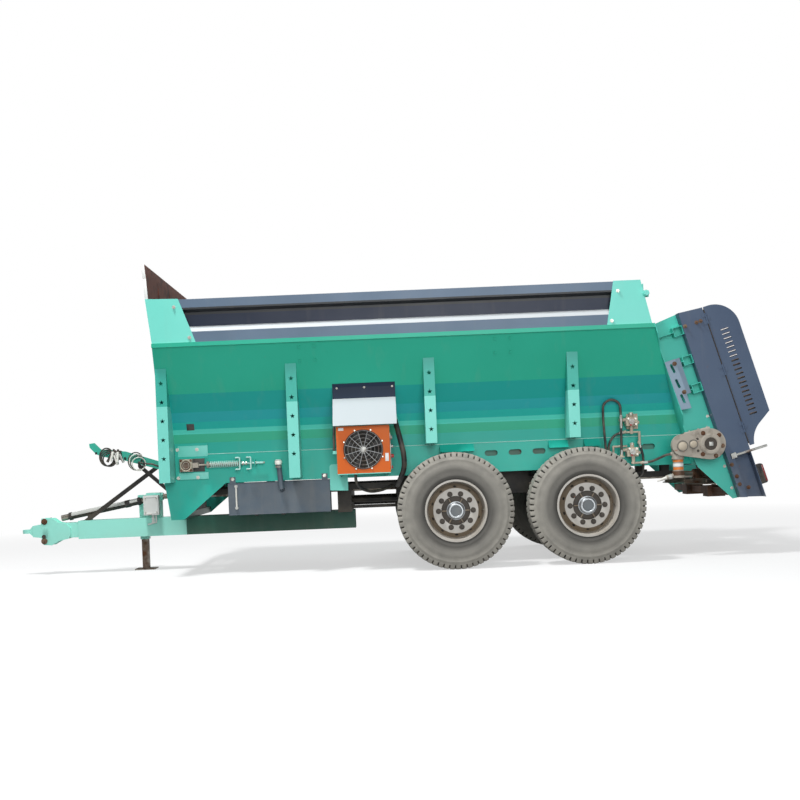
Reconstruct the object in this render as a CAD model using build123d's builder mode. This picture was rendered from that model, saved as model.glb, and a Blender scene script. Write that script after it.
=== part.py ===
"""Towed manure spreader: V-shaped hopper on a tandem axle, floor chain, two
horizontal beaters and two spreading discs, with its own hydraulic tank and cooler.

Millimetres, +Z up. The hitch is at -X and the spreading end at +X, so the
machine's left side is -Y. The origin is on the ground, at the middle of the
overall length and width.
"""
import os
from math import cos, pi, radians, sin, tan

from build123d import *

os.makedirs("parts", exist_ok=True)

# ---------------------------------------------------------------- driving sizes
# Running gear
tyre_radius = 565.0
tyre_width = 300.0
axle_spacing = 1272.0
tyre_outer_y = 1300.0
wheel_bore_radius = 45.0
running_gap = 0.1
seat_gap = 0.3

# Hopper: lengths are measured from the middle of the tandem
front_reach = 3510.0
rear_reach = 1359.0
rim_z = 2260.0
rim_height = 40.0
rim_y = 1215.0
rim_width = 45.0
floor_line_z = 1215.0
sill_bottom_z = 919.0
sill_y = 846.0
sheet = 6.0
extension_height = 420.0

# Drawbar and hitch
hitch_reach = 5229.0
hitch_z = 470.0
beam_width = 200.0
beam_height = 194.0
beam_front_reach = 4606.0
beam_rear_reach = 1640.0
beam_wall = 8.0

# Rear spreading unit, leaning forward at its top
lean = 16.4
unit_top_z = 2292.0
unit_y = 1000.0
case_depth = 110.0
case_front_v = 282.0
case_rear_v = 521.0
wing_rear_v = 822.0
wing_low_w = -1159.0
beater_radius = 255.0
beater_v = 400.0
beater_w = (-440.0, -1000.0)
disc_radius = 320.0
disc_y = 400.0
disc_z = 700.0

# Main driveline, under the floor
driveline_z = 790.0
driveline_radius = 28.0

# Floor chain
shaft_z = 1108.0
shaft_radius = 30.0
chain_radius = 87.0
chain_thickness = 24.0
idler_reach = 3279.0
drive_reach = 1868.0

# ---------------------------------------------------------------- derived places
lean_c = cos(radians(lean))
lean_s = sin(radians(lean))
rear_most_reach = rear_reach + wing_rear_v * lean_c - wing_low_w * lean_s
tandem_x = (hitch_reach - rear_most_reach) / 2
front_x = tandem_x - front_reach
rear_x = tandem_x + rear_reach
axle_x = (tandem_x - axle_spacing / 2, tandem_x + axle_spacing / 2)
axle_z = tyre_radius
wheel_y = tyre_outer_y - tyre_width / 2
hitch_x = tandem_x - hitch_reach
beam_top_z = hitch_z + beam_height / 2
rim_top_z = rim_z + rim_height
extension_top_z = rim_top_z + extension_height
SIDES = (-1, 1)

# Bends of the hopper's side wall, from the rim down: outer face y, z
WALL_BENDS = (
    (1189.0, rim_z),
    (1030.0, 1813.0),
    (940.0, 1630.0),
    (900.0, 1535.0),
    (868.0, 1430.0),
    (852.0, 1329.0),
    (sill_y, floor_line_z),
)


# ---------------------------------------------------------------- helpers
def side_plane(y):
    """Upright plane along the machine at y: local x is X, local y is Z, normal -Y."""
    return Plane(origin=(0, y, 0), x_dir=(1, 0, 0), z_dir=(0, -1, 0))


def lean_plane(y):
    """Plane of the leaning unit at y: local x runs rearwards, local y up the lean."""
    return Plane(origin=(rear_x, y, unit_top_z), x_dir=(lean_c, 0, lean_s), z_dir=(0, -1, 0))


def section_plane(x):
    """Upright plane across the machine at x: local x is Y, local y is Z, normal +X."""
    return Plane(origin=(x, 0, 0), x_dir=(0, 1, 0), z_dir=(1, 0, 0))


def lean_point(v, w, y):
    """World place of a point v rearwards and w up the lean, at y."""
    return (rear_x + v * lean_c - w * lean_s, y, unit_top_z + v * lean_s + w * lean_c)


def block(x0, x1, y0, y1, z0, z1, mode=Mode.ADD):
    """Square-edged block between two corners."""
    with BuildSketch(Plane.XY.offset(z0)) as base:
        with Locations(((x0 + x1) / 2, (y0 + y1) / 2)):
            Rectangle(abs(x1 - x0), abs(y1 - y0))
    extrude(base.sketch, amount=z1 - z0, mode=mode)


def plate(points, y0, y1, plane_at=side_plane, mode=Mode.ADD):
    """Outline drawn on an upright plane, as thick as y0 to y1."""
    with BuildSketch(plane_at(max(y0, y1))) as outline:
        with BuildLine():
            Polyline(*points, close=True)
        make_face()
    extrude(outline.sketch, amount=abs(y1 - y0), mode=mode)


def cross_plate(points, x0, x1, mode=Mode.ADD):
    """Outline of (y, z) points drawn across the machine, from x0 to x1."""
    with BuildSketch(section_plane(min(x0, x1))) as outline:
        with BuildLine():
            Polyline(*points, close=True)
        make_face()
    extrude(outline.sketch, amount=abs(x1 - x0), mode=mode)


def disc(centre, radius, y0, y1, plane_at=side_plane, hole=0.0, mode=Mode.ADD):
    """Round bar or ring whose axis is across the machine."""
    with BuildSketch(plane_at(max(y0, y1))) as outline:
        with Locations(centre):
            Circle(radius)
            if hole:
                Circle(hole, mode=Mode.SUBTRACT)
    extrude(outline.sketch, amount=abs(y1 - y0), mode=mode)


def rod(start, end, radius, hole=0.0, mode=Mode.ADD):
    """Round rod or tube between two points."""
    run = Vector(*end) - Vector(*start)
    with BuildSketch(Plane(origin=start, z_dir=run.normalized())) as outline:
        Circle(radius)
        if hole:
            Circle(hole, mode=Mode.SUBTRACT)
    extrude(outline.sketch, amount=run.length, mode=mode)


def slot(centre, length, height, y0, y1, plane_at=side_plane, turn=0.0):
    """Cut a round-ended slot through a plate."""
    with BuildSketch(plane_at(max(y0, y1))) as outline:
        with Locations(centre):
            SlotOverall(length, height, rotation=turn)
    extrude(outline.sketch, amount=abs(y1 - y0), mode=Mode.SUBTRACT)


def folded(points, thickness):
    """Closed outline of a sheet folded along the points, its thickness to their left."""
    path = [Vector(x, y) for x, y in points]
    runs = [(end - start).normalized() for start, end in zip(path, path[1:])]
    lefts = [Vector(-run.Y, run.X) for run in runs]
    inner = [path[0] + lefts[0] * thickness]
    for corner, before, after in zip(path[1:], lefts, lefts[1:]):
        mitre = (before + after).normalized()
        inner.append(corner + mitre * (thickness / mitre.dot(after)))
    inner.append(path[-1] + lefts[-1] * thickness)
    return [(point.X, point.Y) for point in path + inner[::-1]]


def mirrored(points, side):
    """(y, z) outline put on one side of the machine."""
    return [(side * y, z) for y, z in points]


def wall_y(z):
    """Outer face of the hopper's side wall at height z."""
    for (y_top, z_top), (y_low, z_low) in zip(WALL_BENDS, WALL_BENDS[1:]):
        if z >= z_low:
            return y_low + (y_top - y_low) * (z - z_low) / (z_top - z_low)
    return sill_y


def wall_line(z_top, z_low):
    """Outer wall points between two heights, from the top down."""
    bends = [(y, z) for y, z in WALL_BENDS if z_low < z < z_top]
    return [(wall_y(z_top), z_top)] + bends + [(wall_y(z_low), z_low)]


def lean_w(z):
    """Place up the lean, on the unit's front face, of height z."""
    return (z - unit_top_z) / lean_c


def at(reach, y, z):
    """Place given by its reach from the middle of the tandem."""
    return (tandem_x + reach, y, z)


def lean_slab(points, w0, w1):
    """Outline of (v, y) points drawn square to the leaning unit, from w0 up to w1."""
    foot = Plane(origin=lean_point(0, w0, 0), x_dir=(lean_c, 0, lean_s), z_dir=(-lean_s, 0, lean_c))
    with BuildSketch(foot) as outline:
        with BuildLine():
            Polyline(*points, close=True)
        make_face()
    extrude(outline.sketch, amount=w1 - w0)


def hose(name, places, radius):
    """Hose along straight runs joined by tangent arcs, from (reach, y, z) places."""
    path = [Vector(*at(*place)) for place in places]
    radii = []
    for before, corner, after in zip(path, path[1:], path[2:]):
        turn = radians((corner - before).get_angle(after - corner))
        shorter = min((corner - before).length, (after - corner).length)
        radii.append(0.45 * shorter / tan(turn / 2))
    with BuildLine(mode=Mode.PRIVATE) as route:
        FilletPolyline(*path, radius=radii)
    with BuildSketch(Plane(origin=path[0], z_dir=(path[1] - path[0]).normalized()),
                     mode=Mode.PRIVATE) as end:
        Circle(radius)
    tube = sweep(end.sketch, path=route.wires()[0])
    length = route.wires()[0].length
    print(f"{name}: length {length:.0f}, radii", [round(value) for value in radii],
          f"volume over section times length {tube.volume / (pi * radius ** 2 * length):.4f}")


def fitting(tip, beside, length, radius):
    """Union that carries a hose's end on along its own line, from two (reach, y, z) places."""
    start = Vector(*at(*tip))
    along = (start - Vector(*at(*beside))).normalized()
    rod(start, start + along * length, radius)


def save(part, name):
    """Label a finished piece and write it."""
    part.label = name
    export_step(part, f"parts/{name}.step")


lean_front = Plane(origin=(rear_x, 0, unit_top_z), z_dir=(lean_c, 0, lean_s))
lean_across = Plane(origin=(rear_x, 0, unit_top_z), x_dir=(0, 1, 0), z_dir=(lean_c, 0, lean_s))

# ---------------------------------------------------------------- drawbar
neck_reach = 5000.0
neck_half_width = 60.0
neck_half_height = 80.0
cross_beam_top_z = beam_top_z + 66.0
cross_beam_x = (front_x + 40.0, front_x + 180.0)
hitch_plate = 15.0
eye_radius = 55.0
eye_bore_radius = 25.0
eye_thickness = 40.0

with BuildPart() as drawbar_beam:
    beam_front = tandem_x - beam_front_reach
    beam_rear = tandem_x - beam_rear_reach
    half = beam_width / 2
    block(beam_front, beam_rear, -half, half, hitch_z - beam_height / 2, beam_top_z)
    block(beam_front, beam_rear, -half + beam_wall, half - beam_wall,
          hitch_z - beam_height / 2 + beam_wall, beam_top_z - beam_wall, Mode.SUBTRACT)
    neck_front = tandem_x - neck_reach
    block(neck_front, beam_front + beam_wall, -neck_half_width, neck_half_width,
          hitch_z - neck_half_height, hitch_z + neck_half_height)
    block(beam_front, beam_front + beam_wall, -half, half,
          hitch_z - beam_height / 2, beam_top_z)
    block(cross_beam_x[0], cross_beam_x[1], -sill_y + sheet, sill_y - sheet,
          beam_top_z, cross_beam_top_z)
    for side in SIDES:
        inner = side * neck_half_width
        outer = side * (neck_half_width + hitch_plate)
        plate([(neck_front - 103, hitch_z + 62), (neck_front - 12, hitch_z + 72),
               (neck_front - 3, hitch_z + 138), (neck_front + 108, hitch_z + 133),
               (neck_front + 170, hitch_z + 88), (neck_front + 262, hitch_z + 70),
               (neck_front + 300, hitch_z + 25), (neck_front + 304, hitch_z - 40),
               (neck_front + 282, hitch_z - 88), (neck_front + 180, hitch_z - 110),
               (neck_front + 96, hitch_z - 154), (neck_front + 8, hitch_z - 146),
               (neck_front - 12, hitch_z - 70), (neck_front - 103, hitch_z - 58)], inner, outer)
save(drawbar_beam.part, "drawbar_beam")

with BuildPart() as drawbar_eye:
    eye_x = hitch_x + eye_radius
    with BuildSketch(Plane.XY.offset(hitch_z - eye_thickness / 2)) as ring:
        with Locations((eye_x, 0)):
            Circle(eye_radius)
    extrude(ring.sketch, amount=eye_thickness)
    shank = [(eye_x + 30, hitch_z + 20), (neck_front - 105, hitch_z + 60), (neck_front, hitch_z + 60),
             (neck_front, hitch_z - 55), (neck_front - 105, hitch_z - 55), (eye_x + 30, hitch_z - 20)]
    plate(shank, -neck_half_width + 10, neck_half_width - 10)
    with BuildSketch(Plane.XY.offset(hitch_z - eye_thickness)) as bore:
        with Locations((eye_x, 0)):
            Circle(eye_bore_radius)
    extrude(bore.sketch, amount=2 * eye_thickness, mode=Mode.SUBTRACT)
save(drawbar_eye.part, "drawbar_eye")

# ---------------------------------------------------------------- chassis
rail_y = (515.0, 605.0)
rail_z = (795.0, 855.0)
bearer_z = (925.0, 980.0)
rail_x = (front_x + 50.0, tandem_x + 1640.0)
bearer_width = 80.0
radius_rod_y = 300.0
radius_rod_z = 680.0
radius_rod_radius = 30.0
BEARER_REACHES = (-3160.0, -2480.0, -1800.0, -1100.0, -400.0, 300.0, 1000.0, 1560.0)
riser_x = (tandem_x - 1800.0, tandem_x - 1660.0)
spring_half_length = 474.0
axle_square = 130.0
axle_half = axle_square / 2
spring_end_z = (700.0, 725.0)
hanger_length = 80.0
hanger_low_z = 640.0

with BuildPart() as chassis_frame:
    for side in SIDES:
        block(rail_x[0], rail_x[1], side * rail_y[0], side * rail_y[1], rail_z[0], rail_z[1])
        for axle in axle_x:
            for end in (-1, 1):
                hanger = axle + end * spring_half_length
                if (hanger - tandem_x) * (axle - tandem_x) > 0 and abs(hanger - tandem_x) > axle_spacing / 2:
                    block(hanger, hanger + end * hanger_length, side * rail_y[0], side * rail_y[1],
                          hanger_low_z, rail_z[0])
        inner_end = axle_spacing / 2 - spring_half_length
        block(tandem_x - inner_end, tandem_x + inner_end, side * rail_y[0], side * rail_y[1],
              spring_end_z[0] - 10, bearer_z[0])
        rod((riser_x[1], side * radius_rod_y, radius_rod_z),
            (axle_x[0] - spring_half_length - hanger_length, side * radius_rod_y, radius_rod_z), radius_rod_radius)
        block(riser_x[1], axle_x[0] - axle_half, side * 440, side * 480, 597, 629)
    block(riser_x[0], riser_x[1], -rail_y[1], rail_y[1], beam_top_z, rail_z[0])
    block(cross_beam_x[0] + 10, cross_beam_x[1] - 10, -rail_y[1], rail_y[1], cross_beam_top_z, rail_z[0])
    cross_tube_x = axle_x[0] - spring_half_length - hanger_length
    block(cross_tube_x, cross_tube_x + hanger_length, -rail_y[0], rail_y[0], hanger_low_z, 710)
    for reach in BEARER_REACHES:
        middle = tandem_x + reach
        block(middle - bearer_width / 2, middle + bearer_width / 2, -sill_y + sheet, sill_y - sheet,
              *bearer_z)
        for side in SIDES:
            block(middle - bearer_width / 2, middle + bearer_width / 2, side * rail_y[0], side * rail_y[1],
                  rail_z[1], bearer_z[0])
    for x0, x1 in (riser_x, (cross_beam_x[0] + 30, cross_beam_x[1] - 30)):
        block(x0, x1, -55, 55, rail_z[0] - 60, driveline_z + 50)
    rod((rail_x[0] - 100, 0, driveline_z), (riser_x[1] + 100, 0, driveline_z), driveline_radius + running_gap,
        mode=Mode.SUBTRACT)
save(chassis_frame.part, "chassis_frame")

# ---------------------------------------------------------------- axles and springs
axle_beam_y = 880.0
drum_inner_y = wheel_y - 60.0
spring_thickness = 60.0

with BuildPart() as axles:
    for axle in axle_x:
        block(axle - axle_square / 2, axle + axle_square / 2, -axle_beam_y, axle_beam_y,
              axle_z - axle_square / 2, axle_z + axle_square / 2)
        for side in SIDES:
            disc((axle, axle_z), wheel_bore_radius, side * axle_beam_y, side * (wheel_y + 55))
            disc((axle, axle_z), 60, side * axle_beam_y, side * (drum_inner_y - 20))
            disc((axle, axle_z), 190, side * (drum_inner_y - 22), side * (drum_inner_y - 12))
save(axles.part, "axles")

with BuildPart() as leaf_springs:
    axle_top = axle_z + axle_square / 2
    for axle in axle_x:
        for side in SIDES:
            with BuildSketch(side_plane(max(side * rail_y[0], side * rail_y[1]))) as leaf:
                with BuildLine():
                    low = ThreePointArc((axle - spring_half_length, spring_end_z[0]), (axle, axle_top),
                                        (axle + spring_half_length, spring_end_z[0]))
                    high = ThreePointArc((axle - spring_half_length, spring_end_z[1]),
                                         (axle, axle_top + spring_thickness),
                                         (axle + spring_half_length, spring_end_z[1]))
                    Line(low @ 0, high @ 0)
                    Line(low @ 1, high @ 1)
                make_face()
            extrude(leaf.sketch, amount=rail_y[1] - rail_y[0])
save(leaf_springs.part, "leaf_springs")

# ---------------------------------------------------------------- wheels
bead_radius = 290.0
rim_flange_radius = 302.0
rim_inner_radius = 275.0
wheel_disc_outer_radius = 222.0
hub_pilot_radius = 140.0
cap_radius = 92.0
stud_circle_radius = 167.5
stud_count = 10
WHEELS = (
    ("front_left", axle_x[0], -1),
    ("front_right", axle_x[0], 1),
    ("rear_left", axle_x[1], -1),
    ("rear_right", axle_x[1], 1),
)


def wheel_profile(axle, side, rings):
    """Face through the axle from (offset outwards, radius) points, or arcs of three points."""
    with BuildSketch(section_plane(axle)) as profile:
        with BuildLine():
            for ring in rings:
                spots = [(side * (wheel_y + out), axle_z + radius) for out, radius in ring]
                if len(spots) == 3:
                    ThreePointArc(*spots)
                else:
                    Line(*spots)
        make_face()
    return profile.sketch


half_tread = 118.0
tyre_wall = 26.0
side_bulge = tyre_width / 2
half_bead = 128.0
bulge_radius = (bead_radius + tyre_radius) / 2
TYRE_RINGS = (
    ((half_bead, bead_radius), (side_bulge, bulge_radius), (half_tread + 8, tyre_radius - 24)),
    ((half_tread + 8, tyre_radius - 24), (half_tread, tyre_radius)),
    ((half_tread, tyre_radius), (-half_tread, tyre_radius)),
    ((-half_tread, tyre_radius), (-half_tread - 8, tyre_radius - 24)),
    ((-half_tread - 8, tyre_radius - 24), (-side_bulge, bulge_radius), (-half_bead, bead_radius)),
    ((-half_bead, bead_radius), (-half_bead + tyre_wall, bead_radius)),
    ((-half_bead + tyre_wall, bead_radius), (-side_bulge + tyre_wall, bulge_radius),
     (-half_tread + 18, tyre_radius - tyre_wall - 6)),
    ((-half_tread + 18, tyre_radius - tyre_wall - 6), (half_tread - 18, tyre_radius - tyre_wall - 6)),
    ((half_tread - 18, tyre_radius - tyre_wall - 6), (side_bulge - tyre_wall, bulge_radius),
     (half_bead - tyre_wall, bead_radius)),
    ((half_bead - tyre_wall, bead_radius), (half_bead, bead_radius)),
)
# Wheel section, out from the tyre's middle against radius, from the hub's bore outwards
WHEEL_OUTLINE = (
    (-60, wheel_bore_radius + running_gap), (-60, 205), (48, 205), (48, 190), (68, 190), (68, 215),
    (20, rim_inner_radius), (-143, rim_inner_radius), (-143, rim_flange_radius), (-135, rim_flange_radius),
    (-135, bead_radius - seat_gap), (135, bead_radius - seat_gap), (135, rim_flange_radius),
    (143, rim_flange_radius), (143, rim_inner_radius), (34, rim_inner_radius),
    (84, wheel_disc_outer_radius), (84, hub_pilot_radius), (74, hub_pilot_radius), (74, cap_radius),
    (132, cap_radius - 12), (132, 0), (75, 0), (75, wheel_bore_radius + running_gap),
)

for place, axle, side in WHEELS:
    spin_axis = Axis((axle, 0, axle_z), (0, 1, 0))
    with BuildPart() as tyre:
        revolve(wheel_profile(axle, side, TYRE_RINGS), axis=spin_axis)
    save(tyre.part, f"tyre_{place}")

    closed = WHEEL_OUTLINE + WHEEL_OUTLINE[:1]
    with BuildPart() as wheel:
        revolve(wheel_profile(axle, side, tuple(zip(closed, closed[1:]))), axis=spin_axis)
        with BuildSketch(side_plane(side * (wheel_y + 104) if side > 0 else side * (wheel_y + 84))) as nuts:
            with Locations((axle, axle_z)):
                with PolarLocations(stud_circle_radius, stud_count):
                    RegularPolygon(17, 6)
        extrude(nuts.sketch, amount=20)
    save(wheel.part, f"wheel_{place}")

# ---------------------------------------------------------------- hopper
post_face_y = 1125.0
post_width = 108.0
post_sheet = 6.0
POSTS = (  # reach of the front edge from the tandem, foot height, stars
    (-front_reach, 945.0, 5),
    (-2239.0, 945.0, 5),
    (-890.0, 1228.0, 4),
    (512.0, 1228.0, 4),
)
star_top_z = 1916.0
star_pitch = 184.0
star_radius = 27.0
star_waist = 11.0
holding_slot = (130.0, 55.0)
SLOT_REACHES = (-235.0, 5.0, 245.0, 1340.0)

for side, name in ((-1, "hopper_side_left"), (1, "hopper_side_right")):
    with BuildPart() as hopper_side:
        wall = folded([(y, z) for y, z in WALL_BENDS], -sheet)
        cross_plate(mirrored(wall, side), front_x, rear_x + 500)
        block(front_x - sheet, rear_x + 500, side * (rim_y - rim_width), side * rim_y, rim_z, rim_top_z)
        split(bisect_by=lean_front, keep=Keep.BOTTOM)
    save(hopper_side.part, name)

with BuildPart() as hopper_front_wall:
    right = list(WALL_BENDS) + [(sill_y, sill_bottom_z)]
    left = [(-y, z) for y, z in reversed(right)]
    cross_plate(right + left, front_x - sheet, front_x)
    block(front_x - sheet, front_x + rim_width, -rim_y + rim_width, rim_y - rim_width, rim_z, rim_top_z)
save(hopper_front_wall.part, "hopper_front_wall")

floor_z = shaft_z + chain_radius - chain_thickness - 9.0
slat_half = 790.0
with BuildPart() as hopper_floor:
    block(tandem_x - 3160, tandem_x + 1680, -sill_y + sheet, sill_y - sheet, floor_z - sheet, floor_z)
    for side in SIDES:
        block(tandem_x - 3000, tandem_x + 1600, side * (slat_half + 10), side * (slat_half + 10 + sheet),
              shaft_z - 48, floor_z - sheet)
save(hopper_floor.part, "hopper_floor")


def star_points(x, z):
    """Five-pointed star outline, one point up."""
    corners = []
    for step in range(10):
        reach = star_radius if step % 2 == 0 else star_waist
        turn = radians(90 + 36 * step)
        corners.append((x + reach * cos(turn), z + reach * sin(turn)))
    return corners


with BuildPart() as side_posts:
    post_top_z = rim_z - (WALL_BENDS[0][0] - post_face_y + post_sheet) * (
        (rim_z - WALL_BENDS[1][1]) / (WALL_BENDS[0][0] - WALL_BENDS[1][0]))
    for side in SIDES:
        for reach, foot_z, stars in POSTS:
            left_x = tandem_x + reach
            right_x = left_x + post_width
            inner_face = post_face_y - post_sheet
            plate([(left_x, foot_z), (right_x, foot_z), (right_x, post_top_z), (left_x, post_top_z)],
                  side * inner_face, side * post_face_y)
            cheek = wall_line(post_top_z, foot_z) + [(inner_face, foot_z)]
            cross_plate(mirrored(cheek, side), left_x, left_x + post_sheet)
            cross_plate(mirrored(cheek, side), right_x - post_sheet, right_x)
            for star in range(stars):
                plate(star_points((left_x + right_x) / 2, star_top_z - star * star_pitch),
                      side * inner_face, side * post_face_y, mode=Mode.SUBTRACT)
save(side_posts.part, "side_posts")

# Take-up guides stand on the sill plates, around the front shaft
guide_x = (tandem_x - 3395.0, tandem_x - 3073.0)
guide_z = (975.0, 1326.0)
guide_gap_z = (shaft_z - 66.0, shaft_z + 66.0)
guide_y = (853.0, 865.0)
GUSSET_REACHES = ((-749.0, -408.0), (340.0, 532.0), (692.0, 852.0))
rod_y = 895.0
ROD_CLIP_REACHES = (-2745.0, -2600.0)
rod_radius = 9.0

with BuildPart() as sill_plates:
    for side in SIDES:
        lip = folded([(sill_y - 60, sill_bottom_z), (sill_y, sill_bottom_z), (sill_y, floor_line_z)], sheet)
        cross_plate(mirrored(lip, side), front_x, rear_x + 600)
    split(bisect_by=lean_front, keep=Keep.BOTTOM)
    for side in SIDES:
        plate([(front_x, sill_bottom_z + 2), (front_x + 48, beam_top_z), (cross_beam_x[1], beam_top_z),
               (tandem_x - 2898, sill_bottom_z + 2)], side * (sill_y - sheet), side * sill_y)
        for reach in SLOT_REACHES:
            slot((tandem_x + reach, shaft_z), holding_slot[0], holding_slot[1],
                 side * (sill_y - 10), side * (sill_y + 10))
        slot((tandem_x - idler_reach + 40, shaft_z), 240, 100, side * (sill_y - 10), side * (sill_y + 10))
        block(guide_x[0], guide_x[1], side * sill_y, side * guide_y[0], guide_z[0], guide_gap_z[0])
        block(guide_x[0], guide_x[1], side * sill_y, side * guide_y[0], guide_gap_z[1], floor_line_z)
        plate([(guide_x[0], guide_z[0]), (guide_x[1], guide_z[0]), (guide_x[1], guide_gap_z[0]),
               (guide_x[0] + 40, guide_gap_z[0]), (guide_x[0] + 40, guide_gap_z[1]),
               (guide_x[1], guide_gap_z[1]), (guide_x[1], guide_z[1]), (guide_x[0], guide_z[1])],
              side * guide_y[0], side * guide_y[1])
        for start, end in GUSSET_REACHES:
            cross_plate(mirrored([(sill_y, 1213), (sill_y + 84, 1135), (sill_y, 1135)], side),
                        tandem_x + start, tandem_x + end)
        for reach in ROD_CLIP_REACHES:
            block(tandem_x + reach, tandem_x + reach + 10, side * sill_y, side * (rod_y + 25),
                  shaft_z - 35, shaft_z + 35)
            rod((tandem_x + reach - 5, side * rod_y, shaft_z), (tandem_x + reach + 15, side * rod_y, shaft_z),
                rod_radius + seat_gap, mode=Mode.SUBTRACT)
save(sill_plates.part, "sill_plates")

# ---------------------------------------------------------------- hopper extension
board_face_y = 1195.0
board_sheet = 5.0
board_back_y = 1125.0

with BuildPart() as extension_boards:
    top = extension_top_z
    section = folded([(board_face_y - 75, top), (board_face_y, top), (board_face_y, top - 100),
                      (board_back_y, top - 120), (board_back_y, top - 258), (board_face_y, top - 315),
                      (board_face_y, rim_top_z)], -board_sheet)
    for side in SIDES:
        cross_plate(mirrored(section, side), front_x + 5, tandem_x + 1225)
save(extension_boards.part, "extension_boards")

front_lean = 49.0
board_pivot_x = tandem_x + 1290.0
board_pivot_z = 2590.0
pivot_radius = 14.0
lug_y = (1171.0, 1201.0)
with BuildPart() as corner_plates:
    for side in SIDES:
        inner = side * board_face_y
        outer = side * (board_face_y + sheet)
        plate([(front_x - 3, rim_top_z), (front_x - 3 - front_lean, extension_top_z + 15),
               (tandem_x - 3242, extension_top_z + 6), (tandem_x - 3086, rim_top_z)], inner, outer)
        plate([(tandem_x + 906, rim_top_z), (tandem_x + 982, extension_top_z + 6),
               (tandem_x + 1244, extension_top_z + 6), (tandem_x + 1343, rim_top_z)], inner, outer)
    plate([(front_x - 3, rim_top_z), (front_x - 3 - front_lean, extension_top_z + 15),
           (front_x + 3 - front_lean, extension_top_z + 15), (front_x + 3, rim_top_z)],
          -board_face_y, board_face_y)
    for side in SIDES:
        plate([(tandem_x + 1230, board_pivot_z - 32), (board_pivot_x + 30, board_pivot_z - 32),
               (board_pivot_x + 30, board_pivot_z + 32), (tandem_x + 1230, board_pivot_z + 32)],
              side * lug_y[0], side * lug_y[1])
        disc((board_pivot_x, board_pivot_z), pivot_radius + running_gap, side * (lug_y[0] - 5),
             side * (lug_y[1] + 5), mode=Mode.SUBTRACT)
save(corner_plates.part, "corner_plates")

screen_height = 338.0
screen_depth = 30.0
screen_base_z = extension_top_z + 15.0
with BuildPart() as stone_screen:
    foot_x = front_x - 3 - front_lean
    head_x = foot_x - 20
    plate([(foot_x, screen_base_z), (foot_x + screen_depth, screen_base_z),
           (head_x + screen_depth, screen_base_z + screen_height), (head_x, screen_base_z + screen_height)],
          -board_face_y, board_face_y)
    bays = 4
    bay = (2 * board_face_y - 40) / bays
    for number in range(bays):
        start_y = -board_face_y + 30 + number * bay
        block(head_x - 50, foot_x + 8, start_y, start_y + bay - 20, screen_base_z + 30,
              screen_base_z + screen_height - 30, Mode.SUBTRACT)
        block(foot_x + 14, foot_x + 80, start_y, start_y + bay - 20, screen_base_z + 30,
              screen_base_z + screen_height - 30, Mode.SUBTRACT)
save(stone_screen.part, "stone_screen")

# Hinged board that closes the rear of the extension above the beaters
with BuildPart() as rear_board:
    disc((board_pivot_x, board_pivot_z), pivot_radius, -1240, 1240)
    disc((board_pivot_x, board_pivot_z), 22, -1110, 1110)
    block(board_pivot_x - 3, board_pivot_x + 3, -1110, 1110, board_pivot_z - 270, board_pivot_z + 110)
    for side in SIDES:
        disc((board_pivot_x, board_pivot_z), 28, side * 1207, side * 1240)
save(rear_board.part, "rear_board")

# ---------------------------------------------------------------- floor chain
chain_y = 600.0
chain_width = 40.0
slat_height = 30.0
slat_width = 50.0
slat_pitch = 370.0
idler_x = tandem_x - idler_reach
drive_x = tandem_x + drive_reach
inner_radius = chain_radius - chain_thickness

with BuildPart() as conveyor_loop:
    for side in SIDES:
        with BuildSketch(side_plane(max(side * (chain_y - 20), side * (chain_y + 20)))) as loop:
            with Locations(((idler_x + drive_x) / 2, shaft_z)):
                SlotCenterToCenter(drive_x - idler_x, 2 * chain_radius)
                SlotCenterToCenter(drive_x - idler_x, 2 * inner_radius, mode=Mode.SUBTRACT)
        extrude(loop.sketch, amount=chain_width)
    slats = int((drive_x - idler_x) / slat_pitch)
    for number in range(slats):
        middle = idler_x + (number + 0.5) * (drive_x - idler_x) / slats
        top = shaft_z + chain_radius
        low = shaft_z - chain_radius
        block(middle - slat_width / 2, middle + slat_width / 2, -slat_half, slat_half,
              top - 6, top + slat_height - 6)
        block(middle - slat_width / 2, middle + slat_width / 2, -slat_half, slat_half,
              low - slat_height + 8, low + 6)
save(conveyor_loop.part, "conveyor_loop")

idler_shaft_y = 930.0
drive_shaft_left_y = 1095.0
with BuildPart() as conveyor_shafts:
    disc((idler_x, shaft_z), shaft_radius, -idler_shaft_y, idler_shaft_y)
    disc((drive_x, shaft_z), shaft_radius, -drive_shaft_left_y, unit_y + 40)
    for side in SIDES:
        for x in (idler_x, drive_x):
            disc((x, shaft_z), inner_radius - seat_gap, side * (chain_y - 15), side * (chain_y + 15))
            disc((x, shaft_z), 50, side * (chain_y - 40), side * (chain_y + 40))
save(conveyor_shafts.part, "conveyor_shafts")

spring_sleeve_radius = 18.0
with BuildPart() as chain_takeups:
    for side in SIDES:
        block(idler_x - 62, idler_x + 62, side * (guide_y[1] + seat_gap), side * 925, shaft_z - 62, shaft_z + 62)
        disc((idler_x, shaft_z), 42, side * 925, side * 937)
        disc((idler_x, shaft_z), shaft_radius + seat_gap, side * 860, side * 940, mode=Mode.SUBTRACT)
        block(idler_x + 62, idler_x + 120, side * (rod_y - 22), side * (rod_y + 22), shaft_z - 25, shaft_z + 25)
        rod((idler_x + 120, side * rod_y, shaft_z), (tandem_x - 2500, side * rod_y, shaft_z), rod_radius)
        rod((tandem_x - 3060, side * rod_y, shaft_z), (tandem_x - 2745, side * rod_y, shaft_z),
            spring_sleeve_radius, rod_radius + 3)
        rod((tandem_x - 3075, side * rod_y, shaft_z), (tandem_x - 3055, side * rod_y, shaft_z), 32)
save(chain_takeups.part, "chain_takeups")

# ---------------------------------------------------------------- rear unit
cheek_low_w = lean_w(905.0)
bulkhead = 8.0

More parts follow.
